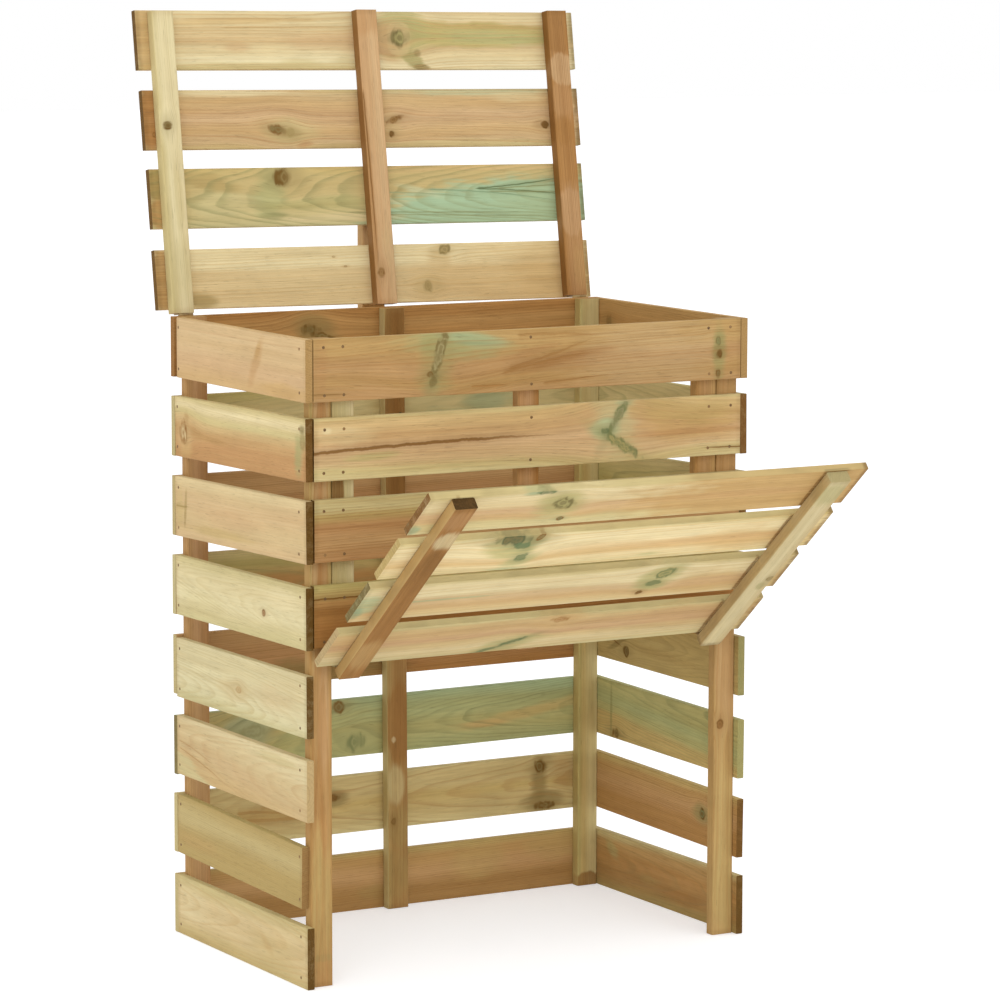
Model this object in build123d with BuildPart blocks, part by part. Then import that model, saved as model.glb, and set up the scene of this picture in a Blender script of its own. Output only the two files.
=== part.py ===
"""Slatted wooden compost bin with a hinged lid and a hinged front hatch.

Millimetres, +Z up, front towards -Y. The lid is built leaning open against its
stop and the hatch is built swung up and out, which is the rest pose.
"""
import math
import os

from build123d import *

# ------------------------------------------------------------ driving sizes
body_width = 792.0        # over the outer faces of the side boards
body_height = 1000.0      # ground to rim
side_length = 455.0       # side boards, front end to the back boards
board_w = 96.0
board_t = 12.0
batten_w = 38.0
batten_t = 19.0
edge_r = 1.2              # eased long edges of the boards
batten_r = 2.6            # rounder long edges of posts and battens
front_y = -107.0          # front face of the bin in this frame

lid_axis_y = 469.5        # measured from the front face
lid_axis_z = 1001.2
lid_open = 100.0          # degrees from closed
lid_skew = -0.72          # the lid boards sit a little askew on the hinges

hatch_axis_y = 9.3
hatch_axis_z = 494.0
hatch_open = 129.7

nail_r = 1.2
nail_head_r = 2.4
nail_head_t = 1.1
nail_len = 28.0
nail_sunk = 0.15

hinge_len = 25.0
hinge_leaf_t = 1.5
hinge_barrel_r = 2.5
hinge_pin_r = 1.25
hinge_reach = 18.0
screw_r = 1.5
screw_head_r = 2.8
screw_len = 14.0

half = body_width / 2
inner = half - board_t
post_in = inner - batten_w
back_in = side_length - batten_t
y_side_nail_front = 22.0
y_side_nail_back = 444.0

# top edges of the boards, front end and back end, row 1 at the rim
left_rows = [(1000, 1000), (880, 873.5), (754.5, 745), (622, 617.5),
             (486.5, 483.5), (356.5, 358), (219, 229), (96, 96)]
right_rows = [(1000, 1000), (879, 874), (755, 745.5), (624, 616),
              (487, 489.5), (351.5, 357.5), (221.5, 229.5), (96, 96)]
back_rows = [(1000, 1000), (873, 873), (745, 745), (617, 617),
             (487.5, 487.5), (355.7, 357.4), (228.5, 228.5), (96, 96)]
front_rows = [(1000, 1000), (879.5, 879.5), (755.5, 755.5), (624.5, 624.5)]

# where each side board starts and ends, from the front face
left_ends = [(0.3, 445.0), (0.8, 452.5), (0.0, 453.0), (1.2, 453.2),
             (0.4, 453.6), (0.2, 453.6), (18.0, 453.0), (0.0, 454.4)]
right_ends = [(0.4, 454.4), (0.9, 453.4), (0.6, 453.0), (0.2, 453.4),
              (0.8, 454.0), (0.5, 453.4), (1.0, 453.2), (0.3, 454.4)]

os.makedirs("parts", exist_ok=True)


def at(x, y, z):
    """A point measured from the front face, middle and ground."""
    return Vector(x, front_y + y, z)


def between(pair, t):
    return pair[0] + (pair[1] - pair[0]) * t


def save(built, label):
    built.part.label = label
    export_step(built.part, f"parts/{label}.step")


def board(label, start, end, across, thick, wide, nails=(), pilots=(), screws=(), bolts=()):
    """A straight board: its section is sketched at the start and run to the end."""
    run = end - start
    with BuildPart() as piece:
        with BuildSketch(Plane(origin=start, x_dir=across, z_dir=run)):
            RectangleRounded(thick, wide, edge_r if wide == board_w else batten_r)
        extrude(amount=run.length)
        if nails:
            with Locations(*nails):
                CounterBoreHole(nail_r + 0.05, nail_head_r + 0.05,
                                nail_head_t + nail_sunk + 0.05, board_t + 1.0)
        if pilots:
            with Locations(*pilots):
                Hole(nail_r + 0.05, depth=nail_len - board_t + 1.5)
        if screws:
            with Locations(*screws):
                Hole(screw_r + 0.05, depth=screw_len - 0.5)
        if bolts:
            with Locations(*bolts):
                Hole(stop_screw_r + 0.05, depth=62.0)
    save(piece, label)


# ------------------------------------------------------------ frames that turn
lid_tilt = math.radians(lid_open - 90.0)
lid_up = Vector(0, math.sin(lid_tilt), math.cos(lid_tilt))       # hinge to far edge
lid_in = Vector(0, -math.cos(lid_tilt), math.sin(lid_tilt))      # towards the inner face
lid_hinge = at(0, lid_axis_y, lid_axis_z)
lid_turn = math.radians(lid_skew)
lid_pivot = 245.0


def lid_point(x, v, d):
    """A point of the lid: along the hinge, away from it, towards the inner face."""
    sx = x * math.cos(lid_turn) - (v - lid_pivot) * math.sin(lid_turn)
    sv = lid_pivot + x * math.sin(lid_turn) + (v - lid_pivot) * math.cos(lid_turn)
    return lid_hinge + Vector(sx, 0, 0) + lid_up * sv + lid_in * d


def lid_reach(x, v):
    """The lid's own measure away from the hinge for a true distance v at x."""
    return lid_pivot + (v - lid_pivot - x * math.sin(lid_turn)) / math.cos(lid_turn)


hatch_rise = math.radians(hatch_open - 90.0)
hatch_out = Vector(0, -math.cos(hatch_rise), math.sin(hatch_rise))   # hinge to far edge
hatch_in = Vector(0, -math.sin(hatch_rise), -math.cos(hatch_rise))   # towards the inner face
hatch_hinge = at(0, hatch_axis_y, hatch_axis_z)


def hatch_point(x, u, d):
    return hatch_hinge + Vector(x, 0, 0) + hatch_out * u + hatch_in * d


# ------------------------------------------------------------ fixing positions
wall_nails = []
lid_nails = []
hatch_nails = []
board_holes = {}
post_holes = {}


def nail(board_name, post_name, head, out, group):
    """One nail: through a board from its outer face into the post behind it."""
    group.append(Plane(origin=head, z_dir=out))
    board_holes.setdefault(board_name, []).append(Plane(origin=head, z_dir=out))
    post_holes.setdefault(post_name, []).append(
        Plane(origin=head - out * (board_t - 0.5), z_dir=out))


out_left, out_right = Vector(-1, 0, 0), Vector(1, 0, 0)
out_front, out_back = Vector(0, -1, 0), Vector(0, 1, 0)

for side, rows, ends, sign, out in (
        ("left", left_rows, left_ends, -1, out_left),
        ("right", right_rows, right_ends, 1, out_right)):
    for i, row in enumerate(rows):
        y_front = max(y_side_nail_front + (i % 3 - 1) * 1.5, ends[i][0] + 8.0)
        y_back = min(y_side_nail_back + (i % 2) * 2.0 - 1.0, ends[i][1] - 6.0)
        for y, post in ((y_front, "front"), (y_back, "back")):
            top = between(row, y / side_length)
            for drop in (15.5 + (i % 3), 82.0 - (i % 2) * 1.5):
                nail(f"{side}_board_{i + 1}", f"post_{post}_{side}",
                     at(sign * half, y, top - drop), out, wall_nails)

for i, row in enumerate(back_rows):
    for x, post in ((-362.0, "post_back_left"), (362.0, "post_back_right"),
                    (None, "batten_back_middle")):
        for drop in ((32.0, 84.0) if i == 0 and x else (16.0 + i % 2, 81.0)):
            z = between(row, 0.5) - drop
            nail(f"back_board_{i + 1}", post,
                 at(-7.0 * z / body_height - 6.0 if x is None else x,
                    side_length + board_t, z), out_back, wall_nails)

front_drops = [(13.0, 86.0), (17.5, 83.5), (17.5, 84.5), (20.5, 86.5)]
for i, row in enumerate(front_rows):
    for x, post in ((-364.5, "post_front_left"), (-331.5, "batten_front_left"),
                    (-3.0, "batten_front_middle"), (323.0, "batten_front_right"),
                    (364.0, "post_front_right")):
        for k, drop in enumerate(front_drops[i]):
            nail(f"front_board_{i + 1}", post,
                 at(x + (k - 0.5) * 1.6 * (-1) ** i, 0.0, row[0] - drop),
                 out_front, wall_nails)

# lid: inner face of the battens closes onto the rim
lid_d_batten = lid_axis_z - (body_height + 0.4)
lid_d_board = lid_d_batten - batten_t
lid_d_outer = lid_d_board - board_t
lid_rows = [391.4, 262.4, 135.6, 5.6]
lid_battens = {"left": -368.0, "middle": 2.0, "right": 364.0}
lid_batten_tops = {"left": 484.0, "middle": 487.5, "right": 487.5}
for i, v in enumerate(lid_rows):
    for name, x in lid_battens.items():
        for k, run in enumerate((16.0, 80.0)):
            nail(f"lid_board_{i + 1}", f"lid_batten_{name}",
                 lid_point(x + (5.0 if k else -5.0), v + run, lid_d_outer),
                 lid_in * -1, lid_nails)

# hatch: inner face of its boards closes onto the front posts
hatch_d_board = 11.6 - hatch_axis_y
hatch_d_outer = hatch_d_board - board_t
hatch_d_batten = hatch_d_board + batten_t
hatch_rows = [382.5, 261.0, 141.5, 13.0]
hatch_battens = {"left": -326.0, "right": 326.0}
for i, u in enumerate(hatch_rows):
    for name, x in hatch_battens.items():
        for k, run in enumerate((16.0, 80.0)):
            nail(f"hatch_board_{i + 1}", f"hatch_batten_{name}",
                 hatch_point(x + (5.0 if k else -5.0), u + run, hatch_d_outer),
                 hatch_in * -1, hatch_nails)

# hinges: x along the pin, y the way the leaf runs, z into the wood
lid_hinge_x = (-368.0, 364.0)
hatch_hinge_x = (-326.0, 326.0)


def leaf_plane(origin, run, into):
    return Plane(origin=origin, x_dir=run.cross(into), z_dir=into)


lid_fixed_leaf = [leaf_plane(at(x, lid_axis_y, lid_axis_z), Vector(0, 0, -1), Vector(0, -1, 0))
                  for x in lid_hinge_x]
lid_moving_leaf = [leaf_plane(at(x, lid_axis_y, lid_axis_z), lid_in * -1, lid_up)
                   for x in lid_hinge_x]
hatch_fixed_leaf = [leaf_plane(at(x, hatch_axis_y, hatch_axis_z), Vector(0, 1, 0), Vector(0, 0, 1))
                    for x in hatch_hinge_x]
hatch_moving_leaf = [leaf_plane(at(x, hatch_axis_y, hatch_axis_z), hatch_in, hatch_out)
                     for x in hatch_hinge_x]

hinge_face = hinge_barrel_r - hinge_leaf_t       # bare face of a leaf, off the pin line
screw_spots = ((-7.0, 10.5), (7.0, 10.5))


def screw_planes(leaf, depth):
    """Planes on a leaf's screws, depth into the wood, facing out of it."""
    return [Plane(origin=leaf.from_local_coords((x, y, hinge_face + depth)),
                  z_dir=leaf.z_dir * -1) for x, y in screw_spots]


def wood_screws(leaf):
    return screw_planes(leaf, hinge_leaf_t)


# lid stop
stop_x = 4.0
stop_w = 42.0
stop_t = 20.0
stop_y = 526.8
stop_top = 1150.0
stop_bottom = 790.0
stop_screw_r = 2.5
stop_screw_head_r = 5.0
stop_screw_len = 96.0
stop_blocks = (952.0, 826.0)     # heights of the spacer blocks and their screws
stop_screw_planes = [Plane(origin=at(stop_x, stop_y + stop_t, z), z_dir=out_back)
                     for z in stop_blocks]


def stop_bolts(y):
    return [Plane(origin=at(stop_x, y, z), z_dir=out_back) for z in stop_blocks]


# ------------------------------------------------------------ walls
for side, rows, ends, sign in (("left", left_rows, left_ends, -1),
                               ("right", right_rows, right_ends, 1)):
    for i, row in enumerate(rows):
        name = f"{side}_board_{i + 1}"
        x = sign * (half - board_t / 2)
        tops = [between(row, y / side_length) for y in ends[i]]
        board(name, at(x, ends[i][0], tops[0] - board_w / 2),
              at(x, ends[i][1], tops[1] - board_w / 2), (1, 0, 0),
              board_t, board_w, nails=board_holes[name])

for i, row in enumerate(back_rows):
    name = f"back_board_{i + 1}"
    y = side_length + board_t / 2
    board(name, at(-half + 0.3 * (i % 3), y, row[0] - board_w / 2),
          at(half - 0.4 * (i % 2), y, row[1] - board_w / 2), (0, 1, 0),
          board_t, board_w, nails=board_holes[name],
          screws=(wood_screws(lid_fixed_leaf[0]) + wood_screws(lid_fixed_leaf[1])
                  if i == 0 else ()),
          bolts=[stop_bolts(side_length + board_t)[i]] if i < 2 else ())

front_ends = [(-382.4, 382.6), (-382.0, 383.0), (-381.6, 382.4), (-382.6, 382.8)]
for i, row in enumerate(front_rows):
    name = f"front_board_{i + 1}"
    board(name, at(front_ends[i][0], board_t / 2, row[0] - board_w / 2),
          at(front_ends[i][1], board_t / 2, row[1] - board_w / 2), (0, 1, 0),
          board_t, board_w, nails=board_holes[name])

# ------------------------------------------------------------ posts and battens
for side, sign in (("left", -1), ("right", 1)):
    x = sign * (post_in + batten_w / 2)
    board(f"post_front_{side}", at(x, board_t + batten_t / 2, 0),
          at(x, board_t + batten_t / 2, body_height - 0.2), (0, 1, 0),
          batten_t, batten_w, pilots=post_holes[f"post_front_{side}"])
    board(f"post_back_{side}", at(x, back_in + batten_t / 2, 0),
          at(x, back_in + batten_t / 2, body_height - 0.2), (0, 1, 0),
          batten_t, batten_w, pilots=post_holes[f"post_back_{side}"],
          screws=wood_screws(lid_fixed_leaf[0 if sign < 0 else 1]))

for name, x, leaf in (("left", -326.0, hatch_fixed_leaf[0]), ("middle", 0.0, None),
                      ("right", 326.0, hatch_fixed_leaf[1])):
    board(f"batten_front_{name}",
          at(x, board_t + batten_t / 2, hatch_axis_z + hinge_barrel_r),
          at(x, board_t + batten_t / 2, body_height - 2.0), (0, 1, 0),
          batten_t, batten_w, pilots=post_holes[f"batten_front_{name}"],
          screws=wood_screws(leaf) if leaf else ())

board("batten_back_middle", at(0, back_in + batten_t / 2, 0.2),
      at(-7.0, back_in + batten_t / 2, body_height - 1.0), (0, 1, 0),
      batten_t, batten_w, pilots=post_holes["batten_back_middle"],
      bolts=stop_bolts(side_length + board_t))

# ------------------------------------------------------------ lid stop
board("lid_stop_post", at(stop_x, stop_y + stop_t / 2, stop_bottom),
      at(stop_x, stop_y + stop_t / 2, stop_top), (0, 1, 0), stop_t, stop_w,
      bolts=stop_bolts(stop_y + stop_t))

with BuildPart() as lid_stop_blocks:
    for z in stop_blocks:
        with BuildSketch(Plane.XZ.offset(-(front_y + side_length + board_t))):
            with Locations((stop_x, z)):
                RectangleRounded(stop_w - 4.0, 60.0, edge_r)
        extrude(amount=-(stop_y - side_length - board_t))
    with Locations(*stop_bolts(stop_y)):
        Hole(stop_screw_r + 0.05, depth=62.0)
save(lid_stop_blocks, "lid_stop_blocks")

# ------------------------------------------------------------ lid
lid_ends = [(-408.0, 403.5), (-405.5, 403.0), (-403.0, 401.0), (-403.5, 400.5)]
for i, v in enumerate(lid_rows):
    name = f"lid_board_{i + 1}"
    mid = lid_d_board - board_t / 2
    board(name, lid_point(lid_ends[i][0], v + board_w / 2, mid),
          lid_point(lid_ends[i][1], v + board_w / 2, mid), lid_in,
          board_t, board_w, nails=board_holes[name])

for (name, x), leaf in zip(lid_battens.items(),
                           (lid_moving_leaf[0], None, lid_moving_leaf[1])):
    mid = lid_d_batten - batten_t / 2
    board(f"lid_batten_{name}",
          lid_point(x, lid_reach(x, hinge_barrel_r + 0.26), mid),
          lid_point(x, lid_batten_tops[name], mid), lid_in, batten_t, batten_w,
          pilots=post_holes[f"lid_batten_{name}"],
          screws=wood_screws(leaf) if leaf else ())

# ------------------------------------------------------------ hatch
hatch_ends = [(-380.0, 383.0), (-379.0, 382.8), (-379.6, 381.5), (-380.0, 381.0)]
for i, u in enumerate(hatch_rows):
    name = f"hatch_board_{i + 1}"
    mid = hatch_d_board - board_t / 2
    board(name, hatch_point(hatch_ends[i][0], u + board_w / 2, mid),
          hatch_point(hatch_ends[i][1], u + board_w / 2, mid), hatch_in,
          board_t, board_w, nails=board_holes[name])

for (name, x), leaf in zip(hatch_battens.items(), hatch_moving_leaf):
    mid = hatch_d_batten - batten_t / 2
    board(f"hatch_batten_{name}", hatch_point(x, hinge_barrel_r, mid),
          hatch_point(x, 476.0, mid), hatch_in, batten_t, batten_w,
          pilots=post_holes[f"hatch_batten_{name}"], screws=wood_screws(leaf))

# ------------------------------------------------------------ hinges
knuckle = (hinge_len - 0.8) / 3
fixed_spans = ((-hinge_len / 2, knuckle), (hinge_len / 2 - knuckle, knuckle))
moving_spans = ((-knuckle / 2, knuckle),)


def across_pin(leaf, x):
    """The plane square to the pin at x along it."""
    return Plane(origin=leaf.from_local_coords((x, 0, 0)), x_dir=leaf.y_dir, z_dir=leaf.x_dir)


def hinge_leaves(label, leaves, spans):
    with BuildPart() as piece:
        for leaf in leaves:
            with BuildSketch(leaf.offset(hinge_face)):
                with Locations((0, (3.0 + hinge_reach) / 2)):
                    Rectangle(hinge_len, hinge_reach - 3.0)
                for start, length in spans:
                    with Locations((start + length / 2, 1.75)):
                        Rectangle(length, 3.5)
            extrude(amount=hinge_leaf_t)
            for start, length in spans:
                with BuildSketch(across_pin(leaf, start)):
                    Circle(hinge_barrel_r)
                extrude(amount=length)
        for leaf in leaves:
            with BuildSketch(across_pin(leaf, -hinge_len)):
                Circle(hinge_pin_r + 0.05)
            extrude(amount=2 * hinge_len, mode=Mode.SUBTRACT)
            with Locations(*screw_planes(leaf, 0.0)):
                CounterSinkHole(screw_r + 0.1, screw_head_r + 0.1, hinge_leaf_t + 1.0)
    save(piece, label)


hinge_leaves("hinge_leaves_fixed", lid_fixed_leaf + hatch_fixed_leaf, fixed_spans)
hinge_leaves("hinge_leaves_lid", lid_moving_leaf, moving_spans)
hinge_leaves("hinge_leaves_hatch", hatch_moving_leaf, moving_spans)

with BuildPart() as hinge_pins:
    for leaf in lid_fixed_leaf + hatch_fixed_leaf:
        with BuildSketch(across_pin(leaf, -hinge_len / 2 - 0.4)):
            Circle(hinge_pin_r)
        extrude(amount=hinge_len + 0.8)
save(hinge_pins, "hinge_pins")


# ------------------------------------------------------------ fasteners
def sunk(planes, depth):
    return [plane.offset(-depth) for plane in planes]


top_down = (Align.CENTER, Align.CENTER, Align.MAX)


def add_nails(heads):
    with Locations(*sunk(heads, nail_sunk)):
        Cylinder(nail_head_r, nail_head_t, align=top_down)
    with Locations(*sunk(heads, nail_sunk + nail_head_t)):
        Cylinder(nail_r, nail_len - nail_head_t - 2.5, align=top_down)
    with Locations(*sunk(heads, nail_sunk + nail_len - 2.5)):
        Cone(0.15, nail_r, 2.5, align=top_down)


def add_screws(faces):
    with Locations(*sunk(faces, 0.1)):
        Cone(screw_r, screw_head_r, hinge_leaf_t - 0.1, align=top_down)
    with Locations(*sunk(faces, hinge_leaf_t)):
        Cylinder(screw_r, screw_len - hinge_leaf_t - 1.0, align=top_down)
    with Locations(*faces):
        Box(3.4, 0.7, 0.7, align=top_down, mode=Mode.SUBTRACT)
        Box(0.7, 3.4, 0.7, align=top_down, mode=Mode.SUBTRACT)


with BuildPart() as nails_walls:
    add_nails(wall_nails)
save(nails_walls, "nails_walls")

with BuildPart() as screws_fixed:
    add_screws([p for leaf in lid_fixed_leaf + hatch_fixed_leaf
                for p in screw_planes(leaf, 0.0)])
save(screws_fixed, "screws_fixed")

with BuildPart() as screws_lid_stop:
    with Locations(*stop_screw_planes):
        Cylinder(stop_screw_r, stop_screw_len, align=top_down)
        Cylinder(stop_screw_head_r, 3.0, align=(Align.CENTER, Align.CENTER, Align.MIN))
    chamfer(screws_lid_stop.edges().filter_by(GeomType.CIRCLE).group_by(Axis.Y)[-1], 1.0)
save(screws_lid_stop, "screws_lid_stop")

with BuildPart() as fixings_lid:
    add_nails(lid_nails)
    add_screws([p for leaf in lid_moving_leaf for p in screw_planes(leaf, 0.0)])
save(fixings_lid, "fixings_lid")

with BuildPart() as fixings_hatch:
    add_nails(hatch_nails)
    add_screws([p for leaf in hatch_moving_leaf for p in screw_planes(leaf, 0.0)])
save(fixings_hatch, "fixings_hatch")
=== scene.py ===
from math import radians

import bpy
from mathutils import Matrix, Vector

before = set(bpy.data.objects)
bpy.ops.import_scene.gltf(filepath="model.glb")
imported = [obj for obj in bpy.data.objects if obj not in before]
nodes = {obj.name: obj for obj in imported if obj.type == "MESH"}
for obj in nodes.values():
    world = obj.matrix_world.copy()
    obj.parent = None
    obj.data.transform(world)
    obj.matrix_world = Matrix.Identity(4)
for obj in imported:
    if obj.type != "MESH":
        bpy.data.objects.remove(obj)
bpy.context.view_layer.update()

# ---------------------------------------------------------------------------
# camera: long lens, from the left of the front, a little above the rim
# ---------------------------------------------------------------------------
cam = bpy.data.cameras.new("view_camera")
cam.sensor_width = 36.0
cam.lens = 158.7277
cam.clip_end = 80.0
cam_obj = bpy.data.objects.new("view_camera", cam)
bpy.context.scene.collection.objects.link(cam_obj)
cam_obj.matrix_world = Matrix((
    (0.86721002, 0.06232807, -0.49402631, -3.42968),
    (-0.49793895, 0.11232204, -0.8599073, -5.97547),
    (0.00189369, 0.99171517, 0.12844237, 1.61289),
    (0.0, 0.0, 0.0, 1.0)))
bpy.context.scene.camera = cam_obj


# ---------------------------------------------------------------------------
# node helpers
# ---------------------------------------------------------------------------
def linear(rgb):
    out = []
    for v in rgb:
        v = v / 255.0
        out.append(v / 12.92 if v <= 0.04045 else ((v + 0.055) / 1.055) ** 2.4)
    return (out[0], out[1], out[2], 1.0)


class Tree:
    """Thin wrapper that adds nodes and links, taking numbers or sockets alike."""

    def __init__(self, tree):
        self.tree = tree

    def node(self, kind, **props):
        n = self.tree.nodes.new(kind)
        for k, v in props.items():
            setattr(n, k, v)
        return n

    def put(self, socket, value):
        if isinstance(value, bpy.types.NodeSocket):
            self.tree.links.new(value, socket)
        elif value is not None:
            socket.default_value = value

    def math(self, op, a, b=None, c=None, clamp=False):
        n = self.node("ShaderNodeMath", operation=op, use_clamp=clamp)
        for s, v in zip(n.inputs, (a, b, c)):
            self.put(s, v)
        return n.outputs[0]

    def vmath(self, op, a, b=None, scale=None):
        n = self.node("ShaderNodeVectorMath", operation=op)
        self.put(n.inputs[0], a)
        self.put(n.inputs[1], b)
        if scale is not None:
            self.put(n.inputs["Scale"], scale)
        return n.outputs["Value"] if op in ("LENGTH", "DOT_PRODUCT", "DISTANCE") else n.outputs["Vector"]

    def mix(self, fac, a, b, blend="MIX"):
        n = self.node("ShaderNodeMix", data_type="RGBA", blend_type=blend, clamp_factor=True)
        self.put(n.inputs[0], fac)
        self.put(n.inputs[6], a)
        self.put(n.inputs[7], b)
        return n.outputs[2]

    def noise(self, vector, scale=1.0, detail=2.0, rough=0.5, distortion=0.0):
        n = self.node("ShaderNodeTexNoise", noise_dimensions="3D")
        self.put(n.inputs["Vector"], vector)
        self.put(n.inputs["Scale"], scale)
        self.put(n.inputs["Detail"], detail)
        self.put(n.inputs["Roughness"], rough)
        self.put(n.inputs["Distortion"], distortion)
        return n.outputs[0]

    def smooth(self, x, lo, hi, out_lo=0.0, out_hi=1.0):
        n = self.node("ShaderNodeMapRange", interpolation_type="SMOOTHSTEP", clamp=True)
        for s, v in zip(n.inputs, (x, lo, hi, out_lo, out_hi)):
            self.put(s, v)
        return n.outputs[0]

    def split(self, v):
        n = self.node("ShaderNodeSeparateXYZ")
        self.put(n.inputs[0], v)
        return n.outputs[0], n.outputs[1], n.outputs[2]

    def join(self, x, y, z):
        n = self.node("ShaderNodeCombineXYZ")
        for s, v in zip(n.inputs, (x, y, z)):
            self.put(s, v)
        return n.outputs[0]

    def turn(self, v, angle):
        n = self.node("ShaderNodeVectorRotate", rotation_type="Z_AXIS")
        self.put(n.inputs["Vector"], v)
        self.put(n.inputs["Angle"], angle)
        return n.outputs[0]

    def use(self, group, **values):
        n = self.node("ShaderNodeGroup")
        n.node_tree = group
        for k, v in values.items():
            self.put(n.inputs[k], v)
        return n.outputs


KINDS = {"f": "NodeSocketFloat", "v": "NodeSocketVector", "c": "NodeSocketColor"}


def new_group(name, inputs, outputs):
    g = bpy.data.node_groups.new(name, "ShaderNodeTree")
    for key, kind in inputs:
        g.interface.new_socket(name=key, in_out="INPUT", socket_type=KINDS[kind])
    for key, kind in outputs:
        g.interface.new_socket(name=key, in_out="OUTPUT", socket_type=KINDS[kind])
    t = Tree(g)
    gin = t.node("NodeGroupInput").outputs
    gout = t.node("NodeGroupOutput").inputs
    return g, t, gin, gout


# ---------------------------------------------------------------------------
# wood groups.  P is a place on the board in metres: x along the grain,
# y across the board, z through its thickness, from the board's middle.
# ---------------------------------------------------------------------------

# growth lines part and close again round a knot
FLOW, t, i, o = new_group("grain_flow",
                          [("P", "v"), ("Centre", "v"), ("Reach", "v"), ("Push", "f")],
                          [("P", "v")])
d = t.vmath("SUBTRACT", i["P"], i["Centre"])
q = t.vmath("MULTIPLY", t.vmath("DIVIDE", d, i["Reach"]), (1.0, 1.0, 0.0))
q2 = t.vmath("DOT_PRODUCT", q, q)
bell = t.math("EXPONENT", t.math("MULTIPLY", q2, -1.0))
_, dy, _ = t.split(d)
push = t.math("MULTIPLY", t.math("MULTIPLY", dy, bell), i["Push"])
t.put(o["P"], t.vmath("SUBTRACT", i["P"], t.join(0.0, push, 0.0)))

# slow wander of the colour bands across the width
WANDER, t, i, o = new_group("band_wander",
                            [("P", "v"), ("Seed", "f"), ("Half", "f"), ("Amount", "f"), ("Slope", "f")],
                            [("Fac", "f")])
x, y, z = t.split(i["P"])
off = t.join(t.math("MULTIPLY", i["Seed"], 3.17), t.math("MULTIPLY", i["Seed"], 7.31), t.math("MULTIPLY", i["Seed"], 1.73))
pa = t.vmath("ADD", t.vmath("MULTIPLY", i["P"], (2.6, 6.0, 6.0)), off)
pb = t.vmath("ADD", t.vmath("MULTIPLY", i["P"], (9.0, 30.0, 30.0)), off)
pc = t.vmath("ADD", t.vmath("MULTIPLY", i["P"], (5.0, 210.0, 120.0)), off)
n1 = t.math("SUBTRACT", t.noise(pa, 1.0, 1.0), 0.5)
n2 = t.math("SUBTRACT", t.noise(pb, 1.0, 1.0), 0.5)
n3 = t.math("SUBTRACT", t.noise(pc, 1.0, 2.0, 0.65), 0.5)
shift = t.math("MULTIPLY", t.math("ADD", t.math("ADD", t.math("MULTIPLY", n1, 1.5), t.math("MULTIPLY", n2, 0.5)),
                                  t.math("MULTIPLY", n3, 0.55)), i["Amount"])
yy = t.math("ADD", y, t.math("MULTIPLY", i["Slope"], x))
fac = t.math("ADD", t.math("DIVIDE", yy, t.math("MULTIPLY", i["Half"], 2.0)), 0.5)
t.put(o["Fac"], t.math("ADD", fac, shift))

# ragged fields shared by the stains, knots and edges of one board
RAGGED, t, i, o = new_group("ragged", [("P", "v"), ("Seed", "f")], [("Rag", "f"), ("Lump", "f"), ("Fine", "f")])
off = t.join(i["Seed"], t.math("MULTIPLY", i["Seed"], 2.3), t.math("MULTIPLY", i["Seed"], 5.1))
na = t.noise(t.vmath("ADD", t.vmath("MULTIPLY", i["P"], (14.0, 150.0, 40.0)), off), 1.0, 2.0, 0.6)
nb = t.noise(t.vmath("ADD", t.vmath("MULTIPLY", i["P"], (24.0, 34.0, 20.0)), off), 1.0, 1.0, 0.5)
nc = t.noise(t.vmath("ADD", t.vmath("SCALE", i["P"], scale=85.0), off), 1.0, 1.0)
nd = t.noise(t.vmath("ADD", t.vmath("MULTIPLY", i["P"], (130.0, 210.0, 180.0)), off), 1.0, 1.0)
t.put(o["Rag"], t.math("ADD", t.math("MULTIPLY", t.math("SUBTRACT", na, 0.5), 0.9), t.math("MULTIPLY", t.math("SUBTRACT", nb, 0.5), 0.7)))
t.put(o["Lump"], t.math("SUBTRACT", nc, 0.5))
t.put(o["Fine"], t.math("SUBTRACT", nd, 0.5))

# a soft stain that runs out along the grain; the same mark also paints shade beside battens and posts
STAIN_AND_SHADE, t, i, o = new_group("grain_stain_and_shade",
                           [("P", "v"), ("Color", "c"), ("Tone", "c"), ("Centre", "v"), ("Size", "v"),
                            ("Turn", "f"), ("Soft", "f"), ("Amount", "f"), ("Rag", "f")],
                           [("Color", "c")])
d = t.vmath("MULTIPLY", t.vmath("SUBTRACT", i["P"], i["Centre"]), (1.0, 1.0, 0.0))
d = t.turn(d, t.math("MULTIPLY", i["Turn"], -1.0))
q = t.vmath("DIVIDE", d, i["Size"])
rr = t.math("ADD", t.vmath("LENGTH", q), t.math("MULTIPLY", i["Rag"], t.math("ADD", 0.35, i["Soft"])))
m = t.smooth(rr, t.math("SUBTRACT", 1.0, i["Soft"]), t.math("ADD", 1.0, t.math("MULTIPLY", i["Soft"], 0.6)), 1.0, 0.0)
t.put(o["Color"], t.mix(t.math("MULTIPLY", m, i["Amount"]), i["Color"], i["Tone"]))

# growth rings cut by the board, fibre streaks, resin flecks and light mottling
PINE, t, i, o = new_group("pine_grain",
                          [("P", "v"), ("Color", "c"), ("Line", "c"), ("Lines", "f"), ("Ring", "f"),
                           ("Pith", "v"), ("Lean", "v"), ("Wave", "f"), ("Streak", "f"), ("Mottle", "f"), ("Seed", "f")],
                          [("Color", "c"), ("Height", "f"), ("Late", "f")])
off = t.join(t.math("MULTIPLY", i["Seed"], 1.91), t.math("MULTIPLY", i["Seed"], 5.77), t.math("MULTIPLY", i["Seed"], 3.37))


def at(scale):
    return t.vmath("ADD", t.vmath("MULTIPLY", i["P"], scale), off)


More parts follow.
